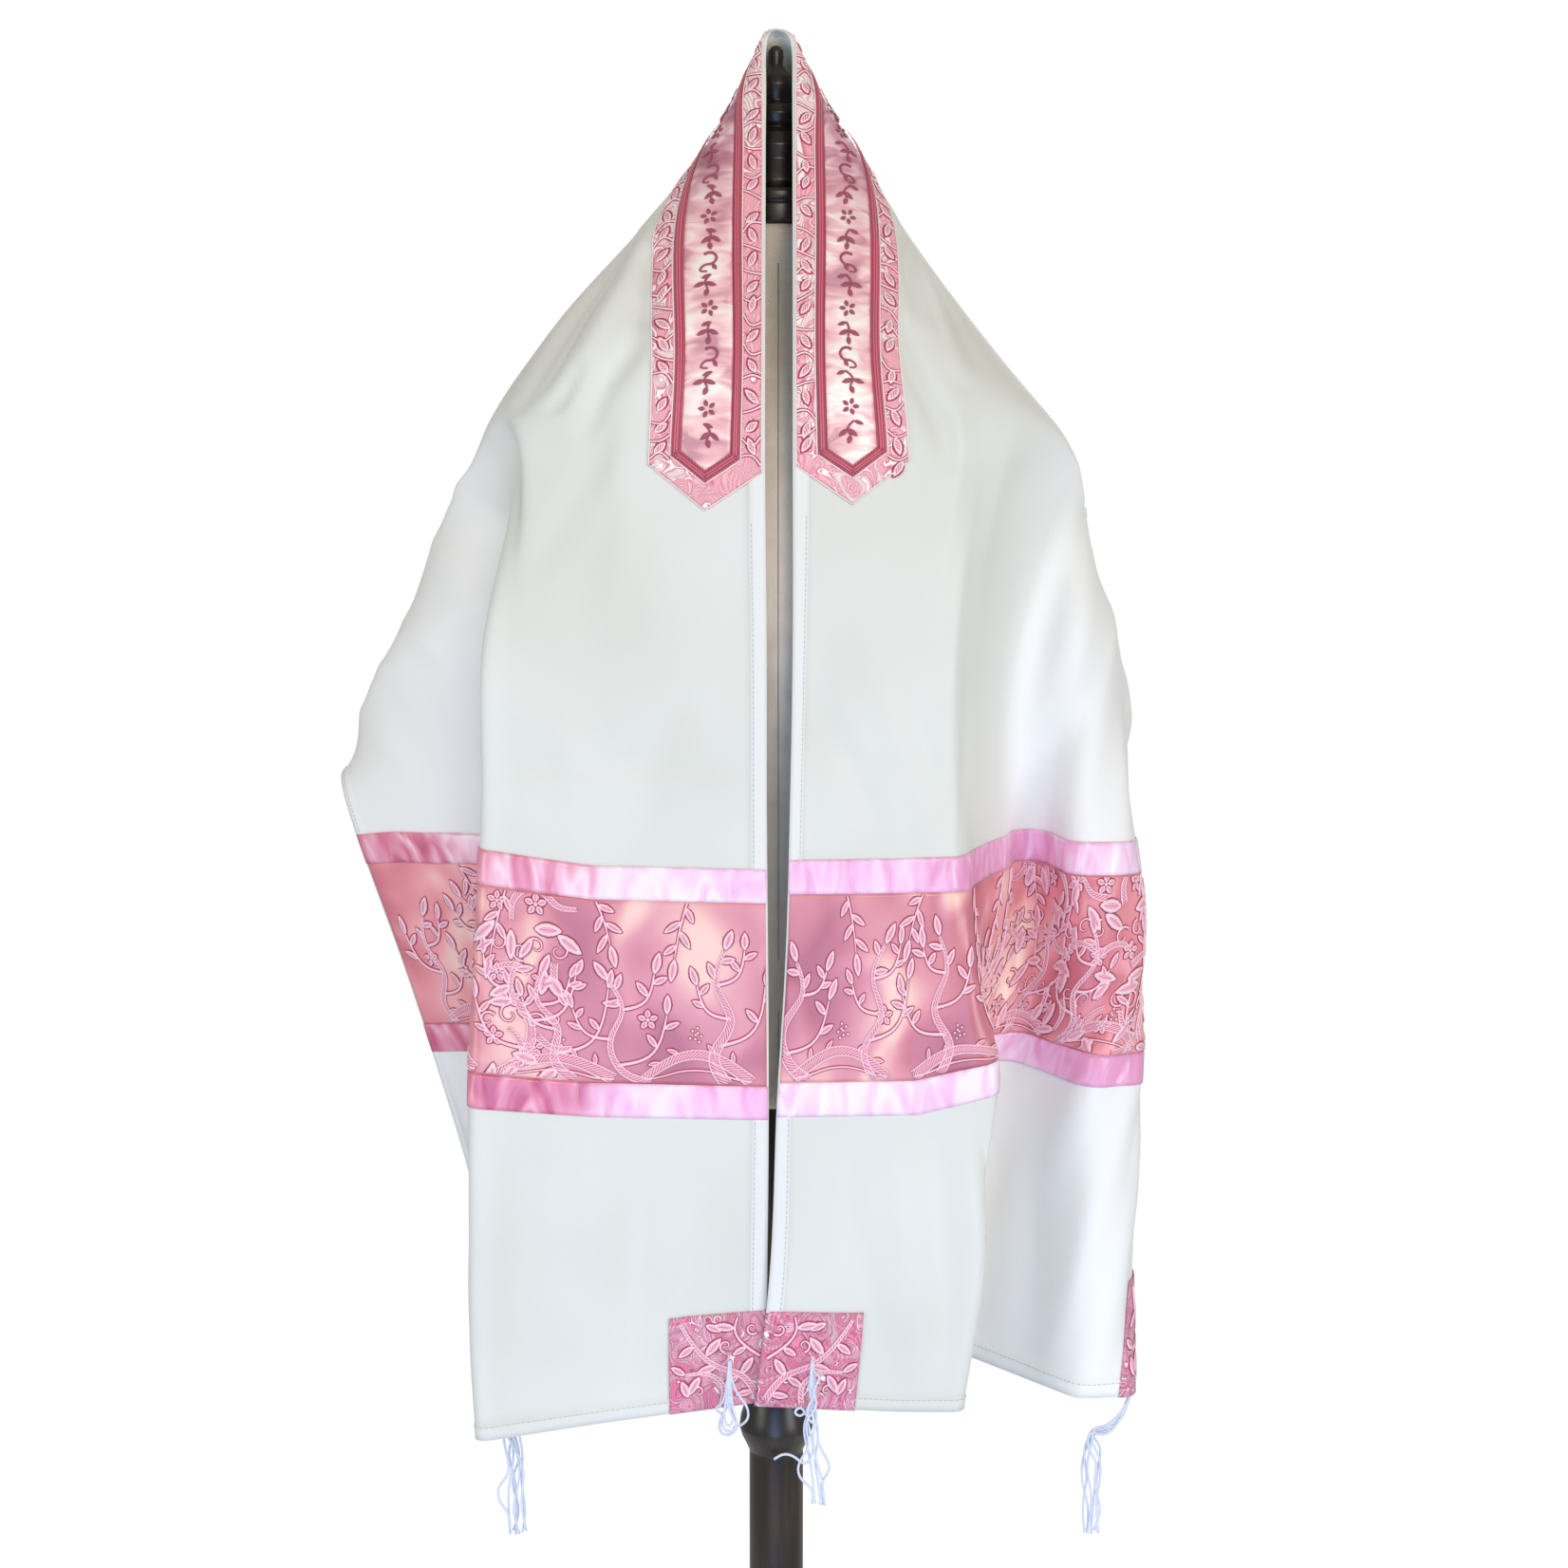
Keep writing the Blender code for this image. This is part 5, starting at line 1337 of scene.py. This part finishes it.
# Each thread's way down from its eyelet: (x, y, z) in millimetres.
TASSELS = {
    "front_left": (
        ((-33, -150, 648), (-33, -156, 634), (-34, -160, 621), (-38, -161, 611), (-40, -160, 604),
         (-37, -159, 597), (-32, -159, 597), (-28, -160, 602), (-28, -161, 608), (-32, -161, 617),
         (-32, -159, 626)),
        ((-32, -150, 648), (-32, -156, 635), (-31, -160, 623), (-29, -163, 613), (-28, -164, 605),
         (-32, -164, 601), (-36, -163, 602), (-38, -162, 607), (-36, -161, 614), (-34, -160, 622)),
        ((-33, -150, 648), (-34, -156, 634), (-35, -159, 623), (-36, -164, 614), (-33, -166, 606),
         (-30, -165, 609), (-32, -163, 615), (-34, -161, 620)),
        ((-32, -150, 646), (-30, -156, 633), (-25, -158, 624), (-20, -159, 616), (-20, -160, 609),
         (-26, -161, 604), (-30, -162, 603)),
        ((-33, -150, 645), (-35, -156, 630), (-40, -158, 618), (-42, -158, 616), (-39, -160, 613),
         (-36, -162, 612)),
    ),
    "front_right": (
        ((26, -152, 650), (26, -158, 639), (27, -161, 627), (24, -164, 616), (21, -165, 609),
         (21, -164, 596), (24, -163, 582), (26, -163, 568), (28, -163, 548)),
        ((26, -152, 650), (25, -158, 639), (25, -161, 627), (27, -164, 615), (29, -165, 607),
         (30, -165, 595), (28, -164, 580), (30, -163, 565), (32, -163, 547)),
        ((26, -152, 648), (28, -158, 642), (31, -161, 640), (29, -161, 635), (27, -163, 627),
         (23, -166, 619), (24, -168, 611), (29, -166, 606), (30, -165, 597), (34, -164, 585),
         (38, -163, 573), (34, -163, 565), (32, -163, 556), (34, -163, 547)),
        ((26, -152, 650), (26, -160, 633), (28, -167, 619), (23, -168, 612), (22, -166, 603),
         (23, -165, 590), (19, -164, 582), (16, -163, 573), (19, -163, 565), (25, -163, 559),
         (26, -163, 548)),
        ((26, -152, 650), (27, -160, 629), (23, -164, 614), (25, -166, 599), (26, -165, 586),
         (21, -165, 578), (14, -164, 582), (6, -163, 584), (-1, -162, 580)),
        ((27, -152, 648), (25, -161, 625), (29, -166, 613), (27, -167, 602), (27, -166, 591),
         (30, -165, 576), (33, -164, 565), (34, -164, 555), (35, -164, 547)),
        ((26, -152, 648), (27, -160, 632), (21, -163, 615), (17, -162, 612), (14, -162, 614),
         (17, -163, 618), (22, -165, 613)),
    ),
    "outer_left": (
        ((-180, -64, 670), (-184, -76, 639), (-190, -86, 606), (-197, -92, 576), (-194, -92, 558),
         (-197, -90, 535), (-197, -90, 494)),
        ((-181, -64, 670), (-186, -77, 639), (-194, -87, 607), (-201, -93, 576), (-199, -93, 558),
         (-199, -91, 539), (-205, -91, 530), (-204, -91, 519), (-199, -91, 511), (-197, -91, 496)),
        ((-180, -63, 669), (-183, -75, 639), (-188, -85, 606), (-192, -91, 575), (-197, -91, 559),
         (-194, -90, 539), (-192, -90, 517), (-193, -90, 494)),
        ((-181, -64, 670), (-184, -77, 639), (-191, -88, 607), (-195, -95, 577), (-191, -95, 559),
         (-190, -93, 536), (-194, -92, 514), (-190, -92, 495)),
        ((-180, -65, 670), (-182, -78, 640), (-188, -88, 607), (-190, -94, 577), (-187, -94, 558),
         (-188, -92, 536), (-186, -91, 513), (-188, -91, 496)),
        ((-180, -65, 670), (-185, -78, 640), (-193, -89, 607), (-199, -96, 577), (-192, -97, 561),
         (-187, -95, 548), (-188, -93, 522), (-185, -93, 498)),
        ((-180, -64, 670), (-183, -76, 639), (-190, -86, 606), (-194, -90, 575), (-190, -90, 553),
         (-195, -89, 535), (-191, -88, 512), (-195, -88, 496)),
    ),
    "outer_right": (
        ((265, -62, 644), (268, -62, 627), (269, -63, 612), (268, -65, 600), (263, -70, 589),
         (258, -75, 579), (249, -79, 572), (238, -82, 570), (231, -83, 563), (229, -83, 550),
         (231, -82, 535), (229, -82, 517), (230, -82, 492)),
        ((266, -61, 643), (266, -62, 627), (266, -64, 613), (265, -66, 600), (261, -71, 588),
         (254, -77, 576), (244, -81, 569), (235, -84, 567), (233, -85, 559), (231, -84, 544),
         (234, -83, 525), (232, -83, 492)),
        ((265, -62, 644), (267, -64, 622), (267, -66, 605), (264, -70, 593), (256, -76, 581),
         (246, -80, 573), (237, -84, 573), (234, -86, 566), (238, -85, 555), (241, -84, 541),
         (239, -83, 521), (240, -83, 492)),
        ((265, -62, 644), (267, -64, 620), (267, -67, 603), (261, -73, 587), (253, -79, 574),
         (241, -84, 568), (233, -86, 570), (231, -86, 561), (237, -85, 548), (237, -84, 531),
         (241, -83, 510), (237, -83, 494)),
        ((266, -61, 644), (268, -62, 618), (266, -66, 599), (260, -73, 585), (250, -78, 576),
         (240, -81, 572), (234, -82, 570), (239, -82, 561), (240, -82, 546), (238, -82, 532),
         (236, -82, 510), (235, -82, 491)),
        ((265, -61, 643), (266, -62, 622), (267, -65, 606), (262, -70, 590), (256, -75, 577),
         (246, -79, 571), (236, -81, 567), (231, -81, 558), (228, -81, 546), (228, -81, 531),
         (232, -81, 513), (232, -81, 493)),
    ),
}


# ---------------------------------------------------------------- the dress form
# The torso's sections from its neck down: height, half-width, half-depth and middle. The
# turned pieces' profiles are (radius, height) from the top down.
TORSO_RINGS = (
    (1.4535, 0.0440, 0.0440, 0.000), (1.448, 0.0470, 0.0465, 0.000), (1.425, 0.0500, 0.0480, 0.000),
    (1.395, 0.0800, 0.0550, -0.003), (1.365, 0.1200, 0.0660, -0.008), (1.335, 0.1550, 0.0780, -0.013),
    (1.290, 0.1720, 0.0920, -0.017), (1.220, 0.1700, 0.1020, -0.018), (1.140, 0.1540, 0.0980, -0.018),
    (1.060, 0.1340, 0.0860, -0.009), (1.000, 0.1300, 0.0820, -0.003), (0.940, 0.1360, 0.0840, 0.001),
    (0.880, 0.1420, 0.0870, 0.002), (0.830, 0.1430, 0.0880, 0.002), (0.817, 0.1410, 0.0860, 0.002),
    (0.813, 0.1350, 0.0800, 0.002),
)
FINIAL_PROFILE = (
    (0.000, 1.5860), (0.0035, 1.5850), (0.0055, 1.5820), (0.0058, 1.5770), (0.0050, 1.5720),
    (0.0075, 1.5680), (0.0125, 1.5630), (0.0145, 1.5570), (0.0130, 1.5500), (0.0110, 1.5455),
    (0.0175, 1.5420), (0.0215, 1.5355), (0.0190, 1.5290), (0.0160, 1.5260), (0.0250, 1.5210),
    (0.0290, 1.5120), (0.0270, 1.5020), (0.0300, 1.4930), (0.0320, 1.4860), (0.0300, 1.4800),
    (0.000, 1.4800),
)
CAP_PROFILE = (
    (0.000, 1.4795), (0.0430, 1.4795), (0.0455, 1.4770), (0.0455, 1.4720), (0.0435, 1.4700),
    (0.0455, 1.4680), (0.0455, 1.4565), (0.0440, 1.4545), (0.000, 1.4545),
)
POLE_PROFILE = (
    (0.000, 0.8115), (0.0190, 0.8115), (0.0190, 0.6200), (0.0170, 0.6050), (0.0175, 0.5800),
    (0.0225, 0.5700), (0.0245, 0.5620), (0.0275, 0.5520), (0.0285, 0.5440), (0.0265, 0.5370),
    (0.0235, 0.5310), (0.0208, 0.5250), (0.0208, 0.3100), (0.0260, 0.3020), (0.0260, 0.2900),
    (0.0200, 0.2800), (0.0200, 0.1400), (0.0240, 0.1150), (0.0320, 0.0900), (0.0380, 0.0740),
    (0.0380, 0.0653), (0.000, 0.0653),
)
BASE_PROFILE = (
    (0.000, 0.0650), (0.0700, 0.0650), (0.0760, 0.0600), (0.0800, 0.0500), (0.1200, 0.0400),
    (0.1780, 0.0340), (0.1900, 0.0270), (0.1940, 0.0160), (0.1900, 0.0040), (0.1860, 0.0000),
    (0.000, 0.0000),
)


TURNING_STEPS = 72


def spun(name, profile):
    """A profile from the top down, spun round the pole's axis and closed at both ends."""
    bm = bmesh.new()
    verts = [bm.verts.new((radius, 0.0, z)) for radius, z in profile]
    edges = [bm.edges.new(pair) for pair in zip(verts, verts[1:])]
    bmesh.ops.spin(bm, geom=verts + edges, cent=(0, 0, 0), axis=(0, 0, 1), angle=2 * math.pi,
                   steps=TURNING_STEPS, use_merge=True)
    bmesh.ops.remove_doubles(bm, verts=bm.verts, dist=1e-6)
    bmesh.ops.recalc_face_normals(bm, faces=bm.faces)
    mesh = bpy.data.meshes.new(name)
    bm.to_mesh(mesh)
    bm.free()
    return mesh


def turned(name, profile, node):
    """A turned wooden piece with its small arrises softened."""
    piece = finish_piece(name, spun(name, profile), "dark_wood", "dark_wood", node)
    soft = piece.modifiers.new("softened", "BEVEL")
    soft.width = 0.0009
    soft.segments = 3
    soft.limit_method = "ANGLE"
    soft.angle_limit = math.radians(14)
    return piece


def torso():
    """The padded torso: a spun profile drawn out to its half-width and half-depth."""
    heights = np.array([row[0] for row in TORSO_RINGS])[::-1]
    sizes = np.array([row[1:] for row in TORSO_RINGS])[::-1]
    levels = np.array(filled(tuple(heights), 0.010))
    rows = spline_through(heights, sizes, levels)
    profile = [(0.0, levels[-1])] + [(1.0, z) for z in levels[::-1]] + [(0.0, levels[0])]
    mesh = spun("torso_linen", profile)
    for vert in mesh.vertices:
        wide, deep, centre = (np.interp(vert.co.z, levels, rows[:, k]) for k in range(3))
        vert.co.x *= wide
        vert.co.y = centre + vert.co.y * deep
    return finish_piece("torso_linen", mesh, "linen", "linen", "form_torso")


def torso_seam():
    """The torso's sewn middle seam, down its front and its back."""
    rows = [row for row in TORSO_RINGS if 0.815 < row[0] < 1.44]
    routes = [[(2.0, (centre + face * (deep + 0.0002)) / MM, z / MM) for z, _, deep, centre in rows]
              for face in (-1, 1)]
    threads("torso_seam", routes, 0.5 * MM, "linen_seam", "linen")


# ---------------------------------------------------------------- setting
def area_light(name, place, aim, size, power, colour):
    """A round soft light at a place, turned towards its aim and hidden from the camera."""
    lamp = bpy.data.objects.new(name, bpy.data.lights.new(name, "AREA"))
    lamp.data.shape = "DISK"
    lamp.data.size = size
    lamp.data.energy = power
    lamp.data.color = srgb(colour)[:3]
    lamp.visible_camera = False
    lamp.location = place
    lamp.rotation_euler = (Vector(place) - Vector(aim)).to_track_quat("Z", "Y").to_euler()
    bpy.context.scene.collection.objects.link(lamp)


def surround():
    """Pure white all round to the eye, and a dimmer white for what it lights."""
    scene = bpy.context.scene
    scene.view_settings.view_transform = "Standard"
    world = bpy.data.worlds.new("white_studio")
    scene.world = world
    world.use_nodes = True
    tree = world.node_tree
    lit, seen_more = 0.39, 0.63
    seen = add(tree, "LightPath").outputs["Is Camera Ray"]
    strength = maths(tree, "MULTIPLY_ADD", seen, seen_more, lit)
    tree.links.new(strength, tree.nodes["Background"].inputs["Strength"])
    tree.nodes["Background"].inputs["Color"].default_value = (1, 1, 1, 1)


def lights():
    """A warm light high in front, a cool one thrown up at the hem, one a side and one behind."""
    area_light("key", (0.8, -3.0, 2.3), (0, 0, 1.15), 1.3, 30, "#FFF0DE")
    area_light("low", (-0.1, -1.5, 0.45), (0, 0, 0.80), 0.9, 6.8, "#8FBDFF")
    area_light("right", (2.2, -2.0, 1.0), (0.1, 0, 0.9), 1.4, 26, "#EEF3FA")
    area_light("left", (-2.4, -1.9, 1.3), (0, 0, 1.0), 1.6, 26, "#F2F4F2")
    area_light("back", (0.3, 2.6, 2.2), (0, 0, 1.0), 2.2, 36, "#FBFCFF")


def round_floor():
    """A pale round board under the base, a hair below it."""
    bm = bmesh.new()
    bmesh.ops.create_circle(bm, cap_ends=True, segments=96, radius=0.92)
    mesh = bpy.data.meshes.new("floor")
    bm.to_mesh(mesh)
    bm.free()
    floor = bpy.data.objects.new("floor", mesh)
    floor.location.z = -0.0005
    bpy.context.scene.collection.objects.link(floor)
    pale, _, _ = new_material("matt_white_board", "#F2F2F0", 0.9)
    mesh.materials.append(pale)


# The lens, from half the square view's width and its focal length in the same points, then
# where the camera stands and how many degrees it looks down.
VIEW_HALF, VIEW_FOCAL = 826, 2609
CAMERA_PLACE = (0.006, -1.855, 1.25)
CAMERA_DOWN = 6.34


def front_camera():
    """Looks at the front from a little above the shawl's middle."""
    camera = bpy.data.objects.new("camera", bpy.data.cameras.new("camera"))
    camera.data.angle = 2 * math.atan(VIEW_HALF / VIEW_FOCAL)
    camera.location = CAMERA_PLACE
    camera.rotation_euler = (math.radians(90 - CAMERA_DOWN), 0, 0)
    bpy.context.scene.collection.objects.link(camera)
    bpy.context.scene.camera = camera


# ---------------------------------------------------------------- the object
def end_trims(side, word):
    """Ribbons, corner squares and embroidered band of one end."""
    whole, square = (0.0005, WIDTH - 0.0005), (HALF - CORNER_SQUARE, HALF + 0.0004)
    front, outer = (-0.0002, CORNER_SQUARE), (WIDTH - CORNER_SQUARE, WIDTH + 0.0002)
    for name, span, node in (("ribbon_top", RIBBON_1, "ribbon_upper"),
                             ("ribbon_foot", RIBBON_2, "ribbon_lower")):
        trim = ribbon(f"{name}_{word}", side, span, whole, 0.9 * MM, "pink_ribbon", "pink_ribbon",
                      f"{node}_{word}", 0.18 * MM)
    for place, v_span in (("front", front), ("outer", outer)):
        patch = ribbon(f"square_{place}_{word}", side, square, v_span, 1.2 * MM, "square_brocade",
                       "brocade", f"corner_{place}_{word}")
        raised = square_relief(side, max(v_span[0], 0.0), f"{place}_{word}")
    band, *stitching = embroidered_band(side, word)


def main():
    """Builds the shawl and its trims, the form, the tassels and the setting."""
    shawl = cloth()
    for side, word in ((-1, "left"), (1, "right")):
        end_trims(side, word)
    neckband()
    stitches = sewing()
    torso()
    torso_seam()
    turned("finial", FINIAL_PROFILE, "form_finial")
    turned("neck_cap", CAP_PROFILE, "form_neck_cap")
    turned("pole", POLE_PROFILE, "form_pole")
    turned("base", BASE_PROFILE, "form_base")
    for name, routes in TASSELS.items():
        threads(f"tassel_{name}", routes, TASSEL_THREAD_RADIUS, "cord", "cord", f"tzitzit_{name}")
    surround()
    lights()
    round_floor()
    front_camera()


main()
